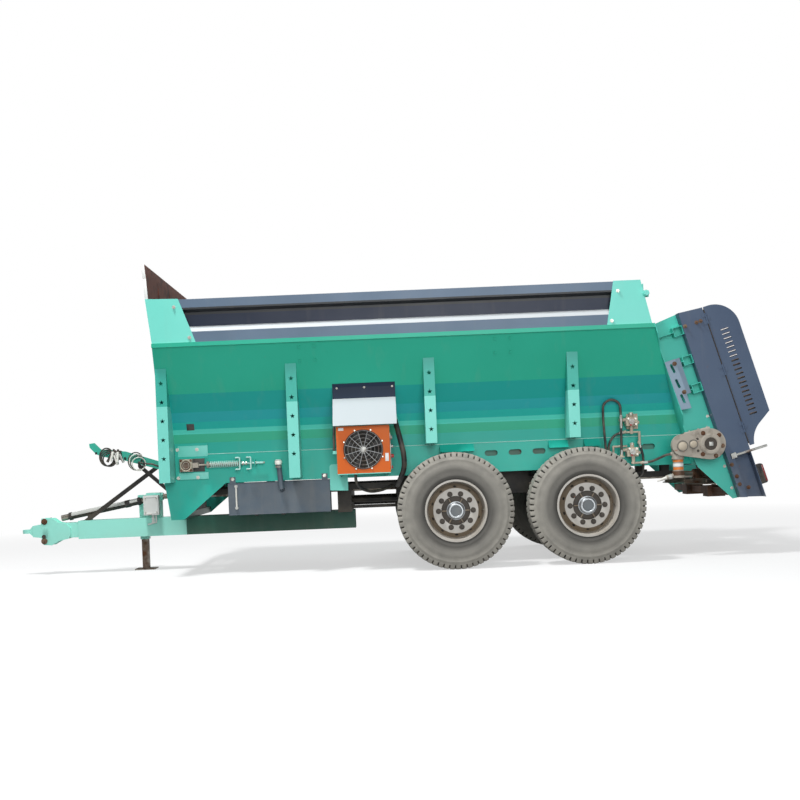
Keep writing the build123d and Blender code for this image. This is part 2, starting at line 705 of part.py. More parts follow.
with BuildPart() as rear_bulkhead:
    outer = [(rim_y, lean_w(rim_top_z)), (rim_y, lean_w(2200)), (1110, lean_w(2050)), (1110, lean_w(1400)),
             (1012, lean_w(1300)), (1012, cheek_low_w)]
    inner = [(y - sheet, lean_w(z)) for y, z in WALL_BENDS] + [(sill_y - sheet, lean_w(bearer_z[1]))]
    inner[0] = (rim_y - rim_width, lean_w(rim_z))
    inner = [(rim_y - rim_width, lean_w(rim_top_z))] + inner
    right = outer[::-1] + inner
    with BuildSketch(lean_across) as cheeks:
        with BuildLine():
            Polyline(*right, *[(-y, w) for y, w in reversed(right)], close=True)
        make_face()
    extrude(cheeks.sketch, amount=bulkhead)
save(rear_bulkhead.part, "rear_bulkhead")

side_frame_low = (236.0, -1875.0)
tube_w = (-139.0, -436.0, -724.0)
beater_shaft_radius = 30.0
with BuildPart() as rear_side_frames:
    for side in SIDES:
        inner = side * (unit_y - sheet)
        outer = side * unit_y
        plate([(bulkhead, 0), (case_front_v, 25), (case_rear_v, 5), (case_rear_v, -1910), side_frame_low,
               (bulkhead, cheek_low_w - 20)], inner, outer, lean_plane)
        for w in tube_w:
            plate([(bulkhead, w - 3), (184, w - 3), (184, w + 3), (bulkhead, w + 3)], outer, side * 1085,
                  lean_plane)
            plate([(184, w - 45), (282, w - 45), (282, w + 45), (184, w + 45)], outer, side * 1085, lean_plane)
            plate([(190, w - 39), (276, w - 39), (276, w + 39), (190, w + 39)], outer, side * 1085,
                  lean_plane, Mode.SUBTRACT)
    disc((beater_v, -40), 38, -unit_y + sheet, unit_y - sheet, lean_plane)
    for w in beater_w:
        disc((beater_v, w), beater_shaft_radius + running_gap, -unit_y, unit_y, lean_plane, mode=Mode.SUBTRACT)
    disc((drive_x, shaft_z), shaft_radius + seat_gap, -unit_y, unit_y, mode=Mode.SUBTRACT)
save(rear_side_frames.part, "rear_side_frames")

hinge_v = 526.0
hinge_y = 1118.0
barrel_radius = 8.0
pin_radius = 4.0
barrel = 36.0
HINGES_W = (-110.0, -640.0, -1230.0)
case_y = unit_y + case_depth
with BuildPart() as chain_cases:
    for side in SIDES:
        plate([(case_front_v, 27), (case_rear_v, 5), (case_rear_v, -1947), (case_front_v, -1874)],
              side * unit_y, side * case_y, lean_plane)
        plate([(case_front_v + 5, 20), (case_rear_v - 5, 0), (case_rear_v - 5, -1455),
               (case_front_v + 5, -1455)], side * unit_y, side * (case_y - 5), lean_plane, Mode.SUBTRACT)
        plate([(349, -1475), (case_rear_v - sheet, -1475), (case_rear_v - sheet, -1950), (349, -1950)],
              side * (unit_y + 8), side * (case_y + 1), lean_plane, Mode.SUBTRACT)
        for w in HINGES_W:
            for start in (w - 1.5 * barrel - 1, w + 0.5 * barrel + 1):
                rod(lean_point(hinge_v, start, side * hinge_y),
                    lean_point(hinge_v, start + barrel, side * hinge_y), barrel_radius)
                plate([(488, start), (hinge_v - 4, start), (hinge_v - 4, start + barrel), (488, start + barrel)],
                      side * case_y, side * (case_y + 4), lean_plane)
            rod(lean_point(hinge_v, w - barrel, side * hinge_y),
                lean_point(hinge_v, w + barrel, side * hinge_y), pin_radius)
save(chain_cases.part, "chain_cases")

wing_front_v = 530.0
wing_corner = 250.0
louvre_count = 20
louvre_pitch = 45.7
for side, name in ((-1, "wing_left"), (1, "wing_right")):
    with BuildPart() as wing:
        inner = side * (case_y - sheet)
        with BuildSketch(lean_plane(max(inner, side * case_y))) as panel:
            with BuildLine():
                Line((wing_front_v, -1422), (wing_front_v, 5))
                Line((wing_front_v, 5), (wing_rear_v - wing_corner, 5))
                RadiusArc((wing_rear_v - wing_corner, 5), (wing_rear_v, 5 - wing_corner), wing_corner)
                Line((wing_rear_v, 5 - wing_corner), (wing_rear_v, wing_low_w))
                Line((wing_rear_v, wing_low_w), (704, -1235))
                ThreePointArc((704, -1235), (620, -1312), (577, -1422))
                Line((577, -1422), (wing_front_v, -1422))
            make_face()
        extrude(panel.sketch, amount=sheet)
        plate([(wing_rear_v - 5, 5 - wing_corner), (wing_rear_v, 5 - wing_corner), (wing_rear_v, wing_low_w),
               (wing_rear_v - 5, wing_low_w)], inner, side * (case_y - 45), lean_plane)
        for number in range(louvre_count):
            slot((662, -267 - number * louvre_pitch), 80, 14, inner, side * case_y, lean_plane)
        for w in HINGES_W:
            plate([(wing_front_v, w - barrel / 2), (wing_front_v + 32, w - barrel / 2),
                   (wing_front_v + 32, w + barrel / 2), (wing_front_v, w + barrel / 2)],
                  side * case_y, side * (case_y + 4), lean_plane)
            rod(lean_point(hinge_v, w - barrel / 2, side * hinge_y),
                lean_point(hinge_v, w + barrel / 2, side * hinge_y), barrel_radius)
            rod(lean_point(hinge_v, w - barrel, side * hinge_y),
                lean_point(hinge_v, w + barrel, side * hinge_y), pin_radius + running_gap, mode=Mode.SUBTRACT)
    save(wing.part, name)

with BuildPart() as latch_bars:
    for side in SIDES:
        plate([(318, -1440), (368, -1440), (368, -1490), (318, -1490)], side * case_y, side * (case_y + 30),
              lean_plane)
        rod(lean_point(343, -1465, side * (case_y + 18)), lean_point(681, -1472, side * (case_y + 18)), 12)
save(latch_bars.part, "latch_bars")

lamp_depth = 72.0
lamp_w = (-1820.0, -1625.0)
lamp_y = (1030.0, 1095.0)
with BuildPart() as tail_lamps:
    for side in SIDES:
        plate([(case_rear_v, lamp_w[0]), (case_rear_v, lamp_w[1]), (case_rear_v + lamp_depth - 12, lamp_w[1]),
               (case_rear_v + lamp_depth, lamp_w[1] - 12), (case_rear_v + lamp_depth, lamp_w[0] + 12),
               (case_rear_v + lamp_depth - 12, lamp_w[0])], side * lamp_y[0], side * lamp_y[1], lean_plane)
save(tail_lamps.part, "tail_lamps")

bracket_fold_v = 106.0
with BuildPart() as slotted_brackets:
    for side in SIDES:
        plate([(0, -387), (bracket_fold_v, -387), (bracket_fold_v, -893), (6, -878)],
              side * 1110, side * (1110 + sheet), lean_plane)
        lean_slab([(bracket_fold_v, side * 1110), (bracket_fold_v, side * (1110 + sheet)),
                   (158, side * 1092), (158, side * 1086)], -750, -389)
        for w in (-470, -625, -780):
            slot((56, w), 95, 26, side * 1109, side * 1117, lean_plane, turn=97)
save(slotted_brackets.part, "slotted_brackets")

# ---------------------------------------------------------------- beaters
beater_tube_radius = 75.0
beater_half = 905.0
paddle_rows = 9
for w, name in ((beater_w[0], "beater_upper"), (beater_w[1], "beater_lower")):
    with BuildPart() as beater:
        disc((beater_v, w), beater_tube_radius, -beater_half, beater_half, lean_plane)
        disc((beater_v, w), beater_shaft_radius, -unit_y - 60, unit_y + 60, lean_plane)
        for side in SIDES:
            disc((beater_v, w), 130, side * beater_half, side * (beater_half + 10), lean_plane)
        for row in range(paddle_rows):
            middle = -beater_half + (row + 0.5) * 2 * beater_half / paddle_rows
            for opposite in (0, 180):
                turn = radians(40 * row + opposite)
                along = (cos(turn), sin(turn))
                across = (-sin(turn), cos(turn))
                corners = []
                for reach, swing in ((60, -45), (beater_radius - 6, -30), (beater_radius - 6, 30), (60, 45)):
                    corners.append((beater_v + along[0] * reach + across[0] * swing,
                                    w + along[1] * reach + across[1] * swing))
                plate(corners, middle - 6, middle + 6, lean_plane)
    save(beater.part, name)

# ---------------------------------------------------------------- spreading discs
disc_x = tandem_x + 2110.0
disc_plate = 8.0
disc_shaft_radius = 25.0
gearbox_top_z = disc_z - 20.0
with BuildPart() as spinner_beam:
    block(disc_x - 45, disc_x + 45, -unit_y + sheet, unit_y - sheet, 596, 666)
    for side in SIDES:
        block(disc_x - 90, disc_x + 90, side * disc_y - 90, side * disc_y + 90, 566, gearbox_top_z)
        rod((disc_x, side * disc_y, gearbox_top_z - 70), (disc_x, side * disc_y, gearbox_top_z + 1),
            disc_shaft_radius + running_gap, mode=Mode.SUBTRACT)
save(spinner_beam.part, "spinner_beam")

for side, name in ((-1, "spreading_disc_left"), (1, "spreading_disc_right")):
    with BuildPart() as spinner:
        centre = (disc_x, side * disc_y)
        rod((*centre, gearbox_top_z - 60), (*centre, disc_z + 30), disc_shaft_radius)
        rod((*centre, disc_z), (*centre, disc_z + disc_plate), disc_radius)
        rod((*centre, disc_z), (*centre, disc_z + 40), 60)
        for step in range(6):
            turn = radians(60 * step)
            vane = Plane(origin=(*centre, disc_z + disc_plate), x_dir=(cos(turn), sin(turn), 0), z_dir=(0, 0, 1))
            with BuildSketch(vane) as foot:
                with Locations((178, 0)):
                    Rectangle(256, 8)
            extrude(foot.sketch, amount=42)
    save(spinner.part, name)

# ---------------------------------------------------------------- drive gearbox
gearbox_y = (1114.0, 1168.0)
gearbox_neck_y = 1012.0
gearbox_neck_step = 46.0
gearbox_small = (tandem_x + 1600.0, shaft_z, 105.0)
gearbox_large = (drive_x, shaft_z, 150.0)
motor_radius = 48.0
motor_top_z = 975.0
motor_y = -1075.0
motor_x = tandem_x + 1570.0
# Hose to the motor: reach from the tandem, y, z
MOTOR_HOSE = ((1258, -960, 951), (1340, -970, 958), (1410, -1015, 992), (1462, -1056, 1018), (1503, -1067, 1024))
with BuildPart() as drive_gearbox:
    with BuildSketch(side_plane(-gearbox_y[0])) as housing:
        for x, z, radius in (gearbox_small, gearbox_large):
            with Locations((x, z)):
                Circle(radius)
        make_hull()
    extrude(housing.sketch, amount=gearbox_y[1] - gearbox_y[0])
    with BuildSketch(side_plane(-gearbox_neck_y)) as neck:
        for x, z, radius in (gearbox_small, gearbox_large):
            with Locations((x, z)):
                Circle(radius - gearbox_neck_step)
        make_hull()
    extrude(neck.sketch, amount=gearbox_y[0] - gearbox_neck_y)
    disc((drive_x, shaft_z), 75, -unit_y, -gearbox_neck_y - 5)
    disc((drive_x, shaft_z), 105, -gearbox_y[1], -gearbox_y[1] - 14)
    disc((gearbox_small[0], shaft_z), 62, -gearbox_y[1], -gearbox_y[1] - 10)
    disc(((gearbox_small[0] + drive_x) / 2 - 10, shaft_z + 10), 42, -gearbox_y[1], -gearbox_y[1] - 8)
    rod((motor_x, motor_y, motor_top_z), (motor_x, motor_y, shaft_z), motor_radius + 8)
    fitting(MOTOR_HOSE[-1], MOTOR_HOSE[-2], 40, 18)
    disc((drive_x, shaft_z), shaft_radius + seat_gap, -unit_y, -drive_shaft_left_y, mode=Mode.SUBTRACT)
save(drive_gearbox.part, "drive_gearbox")

with BuildPart() as drive_motor:
    rod((motor_x, motor_y, motor_top_z), (motor_x, motor_y, 800), motor_radius)
    rod((motor_x, motor_y, 860), (motor_x, motor_y, 790), motor_radius + 8)
    rod((motor_x, motor_y, 825), (motor_x - 120, motor_y, 795), 22)
save(drive_motor.part, "drive_motor")

# ---------------------------------------------------------------- hydraulic tank
tank_x = (tandem_x - 2882.0, tandem_x - 1862.0)
tank_y = (612.0, 852.0)
tank_z = (590.0, 912.0)
with BuildPart() as oil_tank:
    block(tank_x[0], tank_x[1], -tank_y[1], -tank_y[0], tank_z[0], tank_z[1])
    for x in (tank_x[0] + 20, tank_x[1] - 78):
        block(x, x + 58, -tank_y[1], -sill_y, tank_z[1] - 1, 973)
        block(x, x + 58, -tank_y[0], -rail_y[1], rail_z[0] + 3, rail_z[1] - 3)
    filler_x = tandem_x - 2340.0
    rod((filler_x, -tank_y[1] + 5, 830), (filler_x, -900, 850), 26)
    rod((filler_x, -900, 835), (filler_x - 20, -900, 1085), 26)
    rod((filler_x - 20, -900, 1085), (filler_x - 23, -900, 1125), 35)
save(oil_tank.part, "oil_tank")

# ---------------------------------------------------------------- oil cooler
cooler_x = (tandem_x - 1765.0, tandem_x - 1247.0)
cooler_z = (963.0, 1424.0)
cooler_y = (1040.0, 1180.0)
cooler_sheet = 5.0
fan_radius = 172.0
fan_opening = 185.0
fan_x = (cooler_x[0] + cooler_x[1]) / 2
fan_z = (cooler_z[0] + cooler_z[1]) / 2
fan_shaft_radius = 10.0
with BuildPart() as cooler_housing:
    block(cooler_x[0], cooler_x[1], -cooler_y[1], -cooler_y[0], cooler_z[0], cooler_z[1])
    block(cooler_x[0] + cooler_sheet, cooler_x[1] - cooler_sheet, -cooler_y[1] + cooler_sheet,
          -cooler_y[0], cooler_z[0] + cooler_sheet, cooler_z[1] - cooler_sheet, Mode.SUBTRACT)
    disc((fan_x, fan_z), fan_opening, -cooler_y[1] - 1, -cooler_y[1] + cooler_sheet + 1, mode=Mode.SUBTRACT)
save(cooler_housing.part, "cooler_housing")

with BuildPart() as cooler_core:
    margin = cooler_sheet + seat_gap
    block(cooler_x[0] + margin, cooler_x[1] - margin, -cooler_y[0] - 50, -cooler_y[0] - 2,
          cooler_z[0] + margin, cooler_z[1] - margin)
    disc((fan_x, fan_z), 38, -cooler_y[0] - 72, -cooler_y[0] - 50)
    disc((fan_x, fan_z), fan_shaft_radius, -cooler_y[0] - 110, -cooler_y[0] - 50)
save(cooler_core.part, "cooler_core")

with BuildPart() as cooler_fan:
    disc((fan_x, fan_z), 46, -cooler_y[0] - 122, -cooler_y[0] - 78)
    for step in range(8):
        turn = radians(45 * step)
        blade = Plane(origin=(fan_x, -cooler_y[0] - 100, fan_z), x_dir=(cos(turn), 0, sin(turn)),
                      z_dir=(-sin(turn) * cos(radians(55)), -sin(radians(55)), cos(turn) * cos(radians(55))))
        with BuildSketch(blade) as petal:
            with BuildLine():
                Polyline((38, -18), (fan_radius - 4, -30), (fan_radius - 4, 30), (38, 18), close=True)
            make_face()
        extrude(petal.sketch, amount=3)
    disc((fan_x, fan_z), fan_shaft_radius + running_gap, -cooler_y[0] - 112, -cooler_y[0] - 70, mode=Mode.SUBTRACT)
save(cooler_fan.part, "cooler_fan")

# Hose routes: reach from the tandem, y, z
THICK_HOSE = (
    (-1185, -985, 1470), (-1170, -1085, 1400), (-1142, -1135, 1270), (-1113, -1140, 1125),
    (-1112, -1095, 1000), (-1150, -1000, 900), (-1178, -880, 842), (-1182, -745, 825), (-1182, -605, 825),
)
THIN_HOSE = ((-1780, -985, 1480), (-1787, -1068, 1425), (-1792, -1108, 1320), (-1792, -1108, 1190))
DRAIN_HOSE = (
    (-1596, -1000, 955), (-1596, -1000, 875), (-1545, -955, 805), (-1450, -885, 770),
    (-1340, -800, 782), (-1240, -735, 820), (-1240, -605, 820),
)
with BuildPart() as cooler_hood:
    hood = folded([(wall_y(1850), 1850), (wall_y(1813), 1813), (1050, 1700), (1262, 1428)], 4)
    cross_plate(mirrored(hood, -1), tandem_x - 1790, tandem_x - 1172)
save(cooler_hood.part, "cooler_hood")

with BuildPart() as cooler_bracket:
    block(cooler_x[0], cooler_x[1], -cooler_y[1], -sill_y, cooler_z[0] - 8, cooler_z[0])
    for x in (cooler_x[0] + 20, cooler_x[1] - 50):
        cross_plate([(-sill_y, cooler_z[0] - 8), (-1100, cooler_z[0] - 8), (-sill_y, sill_bottom_z + 6)], x, x + 8)
        cross_plate(mirrored([(wall_y(1400), 1400), (cooler_y[0], 1400), (cooler_y[0], 1360),
                              (wall_y(1360), 1360)], -1), x, x + 30)
    stand_x = tank_x[1] + 3
    plate([(stand_x, 800), (stand_x + 180, 792), (stand_x + 180, 1060), (stand_x + 18, 1060),
           (stand_x, 1040)], -sill_y - sheet, -sill_y)
    block(cooler_x[0] - 41, cooler_x[0], -1124, -1096, 1160, 1190)
    fitting(THICK_HOSE[0], THICK_HOSE[1], 150, 32)
    fitting(THIN_HOSE[0], THIN_HOSE[1], 150, 16)
    cross_plate(mirrored(wall_line(1700, 1400) + [(800, 1400), (800, 1700)], -1),
                tandem_x - 1900, tandem_x - 1000, Mode.SUBTRACT)
save(cooler_bracket.part, "cooler_bracket")

with BuildPart() as cooler_hoses:
    hose("thick cooler hose", THICK_HOSE, 26)
    hose("thin cooler hose", THIN_HOSE, 12)
    hose("cooler drain hose", DRAIN_HOSE, 15)
save(cooler_hoses.part, "cooler_hoses")

# ---------------------------------------------------------------- valves
valve_x = (tandem_x + 1105.0, tandem_x + 1215.0)
valve_middle_x = (valve_x[0] + valve_x[1]) / 2
pipe_radius = 10.0
union_radius = 16.0
pipe_y = -925.0
LOOP_HOSE = (
    (897, -952, 1040), (878, -952, 1380), (882, -952, 1549), (967, -952, 1598),
    (1052, -952, 1549), (1055, -952, 1400), (1047, -952, 1038),
)
LINK_HOSE = ((925, pipe_y, 1036), (927, pipe_y, 1150), (990, pipe_y, 1238), (1075, pipe_y, 1257))
DROP_HOSE = (
    (1236, pipe_y, 1142), (1268, pipe_y, 1010), (1266, -915, 895), (1263, -835, 825),
    (1262, -720, 815), (1262, -605, 815),
)
with BuildPart() as valve_blocks:
    block(valve_x[0], valve_x[1], -965, -885, 1318, 1408)
    seat = wall_line(1440, 1290)
    cross_plate(mirrored(seat + [(885, 1290), (885, 1440)], -1), valve_x[0] + 20, valve_x[1] + 20)
    rod((valve_middle_x, pipe_y, 1405), (valve_middle_x, pipe_y, 1452), 20)
    rod((valve_middle_x, pipe_y, 1240), (valve_middle_x, pipe_y, 1320), union_radius)
    block(valve_x[0], valve_x[1], -955, -sill_y, 1016, 1106)
    rod((valve_middle_x, pipe_y, 1104), (valve_middle_x, pipe_y, 1150), 20)
    rod((valve_middle_x, -960, 940), (valve_middle_x, -960, 1020), union_radius)
    for z in (1362.0, 1062.0):
        disc((valve_middle_x, z), 34, -940, -985)
        rod((valve_x[0] - 37, pipe_y, z + 20), (valve_x[0] + 5, pipe_y, z + 20), union_radius)
        rod((valve_x[1] - 5, pipe_y, z - 10), (valve_x[1] + 22, pipe_y, z - 10), union_radius)
    rod(at(1085, pipe_y, 1257), at(1236, pipe_y, 1257), pipe_radius)
    rod(at(1236, pipe_y, 1150), at(1236, pipe_y, 1265), pipe_radius + 3)
    fitting(LINK_HOSE[-1], LINK_HOSE[-2], 30, union_radius)
    fitting(DROP_HOSE[0], DROP_HOSE[1], 24, union_radius)
    rod(at(973, pipe_y, 1120), at(1110, pipe_y, 1120), pipe_radius)
    rod(at(973, pipe_y, 1020), at(973, pipe_y, 1128), pipe_radius)
    block(tandem_x + 1040, valve_x[0] - 37, pipe_y - 15, pipe_y + 13, 1368, 1396)
    rod(at(1140, -960, 951), at(1250, -960, 951), pipe_radius)
    fitting(MOTOR_HOSE[0], MOTOR_HOSE[1], 30, union_radius)
    block(tandem_x + 875, tandem_x + 1070, -975, -sill_y, 1010, 1022)
    for route in (LOOP_HOSE, LOOP_HOSE[::-1], LINK_HOSE):
        fitting(route[0], route[1], 24, union_radius)
save(valve_blocks.part, "valve_blocks")

valve_hose_radius = 12.0
with BuildPart() as valve_hoses:
    hose("valve loop hose", LOOP_HOSE, valve_hose_radius)
    hose("valve link hose", LINK_HOSE, valve_hose_radius)
    hose("valve drop hose", DROP_HOSE, valve_hose_radius)
    hose("motor hose", MOTOR_HOSE, valve_hose_radius)
save(valve_hoses.part, "valve_hoses")

# ---------------------------------------------------------------- hitch end gear
front_gearbox_x = (tandem_x - 3875.0, tandem_x - 3725.0)
front_gearbox_top_z = 832.0
gearbox_half = 68.0
pto_front = (tandem_x - 4804.0, 0.0, 599.0)
pto_rear = (front_gearbox_x[0], 0.0, 763.0)
pto_run = Vector(*pto_rear) - Vector(*pto_front)
pto_dir = pto_run.normalized()
pto_length = pto_run.length
guard_radius = 35.0
pto_bar_radius = 22.0
guard_saddle_x = (tandem_x - 4520.0, tandem_x - 4480.0)


def pto_point(distance):
    """Point on the PTO shaft's line, that far back from its front end."""
    spot = Vector(*pto_front) + pto_dir * distance
    return (spot.X, spot.Y, spot.Z)


with BuildPart() as pto_guard:
    block(*guard_saddle_x, -30, 30, beam_top_z, 645)
    rod(pto_point(80), pto_point(pto_length - 60), guard_radius)
    rod(pto_point(70), pto_point(pto_length - 50), pto_bar_radius + 6, mode=Mode.SUBTRACT)
save(pto_guard.part, "pto_guard")

with BuildPart() as pto_shaft:
    rod(pto_point(60), pto_point(pto_length + 50), pto_bar_radius)
    rod(pto_point(0), pto_point(70), 32, 18)
save(pto_shaft.part, "pto_shaft")

drive_bore_depth = 60.0
with BuildPart() as front_gearbox:
    block(*front_gearbox_x, -gearbox_half, gearbox_half, beam_top_z, front_gearbox_top_z)
    rod(pto_point(pto_length - 25), pto_point(pto_length + 20), 46)
    rod((front_gearbox_x[1] - 20, 0, driveline_z), (front_gearbox_x[1] + 22, 0, driveline_z), 40)
    rod(pto_point(pto_length - 30), pto_point(pto_length + drive_bore_depth),
        pto_bar_radius + running_gap, mode=Mode.SUBTRACT)
    rod((front_gearbox_x[1] - drive_bore_depth, 0, driveline_z), (front_gearbox_x[1] + 25, 0, driveline_z),
        driveline_radius + running_gap, mode=Mode.SUBTRACT)
save(front_gearbox.part, "front_gearbox")

rear_gearbox_x = (disc_x - 85.0, disc_x + 85.0)
with BuildPart() as rear_gearbox:
    block(*rear_gearbox_x, -gearbox_half, gearbox_half, driveline_z - 60, driveline_z + 60)
    rod((disc_x, -unit_y + sheet, driveline_z), (disc_x, unit_y - sheet, driveline_z), 30)
    rod((rear_gearbox_x[0] - 22, 0, driveline_z), (rear_gearbox_x[0] + 20, 0, driveline_z), 52)
    rod((rear_gearbox_x[0] - 25, 0, driveline_z), (rear_gearbox_x[0] + drive_bore_depth, 0, driveline_z),
        driveline_radius + running_gap, mode=Mode.SUBTRACT)
save(rear_gearbox.part, "rear_gearbox")

with BuildPart() as driveline:
    rod((front_gearbox_x[1] - drive_bore_depth + 10, 0, driveline_z),
        (rear_gearbox_x[0] + drive_bore_depth - 10, 0, driveline_z), driveline_radius)
save(driveline.part, "driveline")

crank_radius = 8.0
with BuildPart() as control_box:
    block(tandem_x - 3880, tandem_x - 3720, -beam_width / 2 - 90, -beam_width / 2 - 8, 601, 808)
    block(tandem_x - 3815, tandem_x - 3785, -beam_width / 2 - 8, -beam_width / 2, beam_top_z - 60, 700)
    rod(at(-3762, -130, 604), at(-3762, -130, 514), crank_radius)
    rod(at(-3762, -130, 521), at(-3852, -130, 499), crank_radius)
save(control_box.part, "control_box")

jack_x = tandem_x - 3950.0
jack_outer = 90.0
jack_inner = 70.0
jack_offset = 20.0
jack_y = beam_width / 2 + jack_offset + jack_outer / 2
jack_top_z = 770.0
with BuildPart() as jack_tube:
    outer = jack_outer / 2
    hollow = jack_inner / 2 + 1
    block(jack_x - outer, jack_x + outer, jack_y - outer, jack_y + outer, 330, jack_top_z)
    block(jack_x - hollow, jack_x + hollow, jack_y - hollow, jack_y + hollow, 320, jack_top_z - 15,
          Mode.SUBTRACT)
    block(jack_x - 70, jack_x + 70, beam_width / 2, jack_y - outer, hitch_z - 70, hitch_z + 70)
    block(jack_x - 55, jack_x + 55, jack_y - outer - 6, jack_y + outer + 10, jack_top_z - 15, jack_top_z + 40)
save(jack_tube.part, "jack_tube")

foot_plate = 12.0
with BuildPart() as jack_leg:
    half = jack_inner / 2
    block(jack_x - half, jack_x + half, jack_y - half, jack_y + half, foot_plate, 450)
    block(jack_x - 110, jack_x + 110, jack_y - 90, jack_y + 90, 0, foot_plate)
save(jack_leg.part, "jack_leg")

arm_y = (-90.0, -70.0)
strut_thickness = 12.0
strut_foot_x = tandem_x - beam_front_reach + 49
arm_wall_x = front_x - sheet
coil_radius = (74.0, 100.0)
coil_y = (-126.0, -102.0)
COILS = (  # reach ahead of the front wall and height of the middle, heights of the two clips behind it
    (786.0, 1242.0, 1280.0, 1250.0),
    (478.0, 1185.0, 1215.0, 1185.0),
)
LEAD_HOSE = ((-3860, -114, 1150), (-3790, -114, 1150), (-3700, -114, 1108), (-3600, -114, 1072), (-3516, -114, 1072))


def arm_point(reach, z):
    """Point of the arm that far ahead of the front wall."""
    return (front_x - reach, z)


with BuildPart() as hose_arm:
    plate([(arm_wall_x, 1101), arm_point(560, 1288), arm_point(823, 1321), arm_point(890, 1392),
           arm_point(946, 1385), arm_point(942, 1345), arm_point(880, 1275),
           arm_point(823, 1245), arm_point(560, 1188), (arm_wall_x, 1021)], *arm_y)
    plate([(strut_foot_x, beam_top_z), (strut_foot_x + 78, beam_top_z), arm_point(230, 1081),
           arm_point(230, 1135)], arm_y[1], arm_y[1] + strut_thickness)
    plate([arm_point(430, 1168), (cross_beam_x[0] + 10, 729), (cross_beam_x[0] + 10, 675),
           arm_point(430, 1114)], arm_y[0] - strut_thickness, arm_y[0])
    clip_reach = sum(coil_radius) / 2
    for reach, z, *clips in COILS:
        for end, clip_z in zip((-1, 1), clips):
            clip_x = front_x - reach + end * clip_reach
            block(clip_x - 10, clip_x + 10, arm_y[0], coil_y[1], clip_z - 12, clip_z + 12)
    block(front_x - 370, front_x - 350, -130, arm_y[0], 1135, 1165)
save(hose_arm.part, "hose_arm")

with BuildPart() as arm_hoses:
    for reach, z, *clips in COILS:
        disc((front_x - reach, z), coil_radius[1], *coil_y, hole=coil_radius[0])
    block(front_x - 680, front_x - 600, -130, arm_y[0], 1200, 1300)
    hose("arm lead hose", LEAD_HOSE, 9)
save(arm_hoses.part, "arm_hoses")
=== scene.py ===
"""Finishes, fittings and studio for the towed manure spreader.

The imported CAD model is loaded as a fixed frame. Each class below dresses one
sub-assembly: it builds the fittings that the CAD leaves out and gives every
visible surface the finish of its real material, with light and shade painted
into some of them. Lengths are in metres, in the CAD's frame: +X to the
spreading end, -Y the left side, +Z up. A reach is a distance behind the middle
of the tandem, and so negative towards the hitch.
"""
from __future__ import annotations

import logging
from dataclasses import dataclass
from enum import Enum
from math import atan2, pi, radians, tau

import bmesh
import bpy
from mathutils import Matrix, Vector

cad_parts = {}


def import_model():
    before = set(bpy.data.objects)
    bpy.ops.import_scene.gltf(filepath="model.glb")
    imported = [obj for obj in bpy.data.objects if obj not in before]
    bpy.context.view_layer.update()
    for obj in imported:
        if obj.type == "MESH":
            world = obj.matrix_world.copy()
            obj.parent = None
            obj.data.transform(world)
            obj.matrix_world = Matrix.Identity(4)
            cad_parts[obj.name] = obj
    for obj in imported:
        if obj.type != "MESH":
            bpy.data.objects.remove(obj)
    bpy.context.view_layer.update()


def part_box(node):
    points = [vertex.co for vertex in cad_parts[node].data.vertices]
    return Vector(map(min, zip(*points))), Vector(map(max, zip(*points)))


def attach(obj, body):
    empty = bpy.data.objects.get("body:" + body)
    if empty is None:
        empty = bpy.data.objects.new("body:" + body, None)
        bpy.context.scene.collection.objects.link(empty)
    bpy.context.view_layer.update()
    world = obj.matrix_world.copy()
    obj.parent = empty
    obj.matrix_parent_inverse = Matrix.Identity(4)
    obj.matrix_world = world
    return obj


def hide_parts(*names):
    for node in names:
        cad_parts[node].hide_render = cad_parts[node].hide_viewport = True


LOG = logging.getLogger("spreader")
Point = tuple[float, float, float]
Pair = tuple[float, float]
Outline = tuple[Pair, ...]
Source = bpy.types.NodeSocket
Shape = bmesh.types.BMesh
CHASSIS = "chassis"
ROAD_DUST = "#a79a84"
RUST_BROWN = "#6b3a1d"
SILL_Y = 0.847


class Side(Enum):
    """Side of the machine, by the sign of its Y."""

    LEFT = -1
    RIGHT = 1


class Axis(Enum):
    """Axis that bands of paint follow."""

    ALONG = "X"
    ACROSS = "Y"
    UP = "Z"


class Corner(Enum):
    """Place of a wheel in the tandem."""

    FRONT_LEFT = "front_left"
    FRONT_RIGHT = "front_right"
    REAR_LEFT = "rear_left"
    REAR_RIGHT = "rear_right"

    @property
    def side(self) -> int:
        """Sign of the side that the wheel is on."""
        return (Side.LEFT if "left" in self.value else Side.RIGHT).value


# ------------------------------------------------------------------ finishes
def linear(colour: str) -> tuple[float, float, float, float]:
    """Turn an sRGB hex colour into Blender's linear values.

    Args:
        colour: Six hex digits after a hash sign.

    Returns:
        Red, green, blue and an alpha of 1.
    """
    parts = [int(colour[place:place + 2], 16) / 255 for place in (1, 3, 5)]
    bent = [part / 12.92 if part <= 0.04045 else ((part + 0.055) / 1.055) ** 2.4 for part in parts]
    return (bent[0], bent[1], bent[2], 1.0)


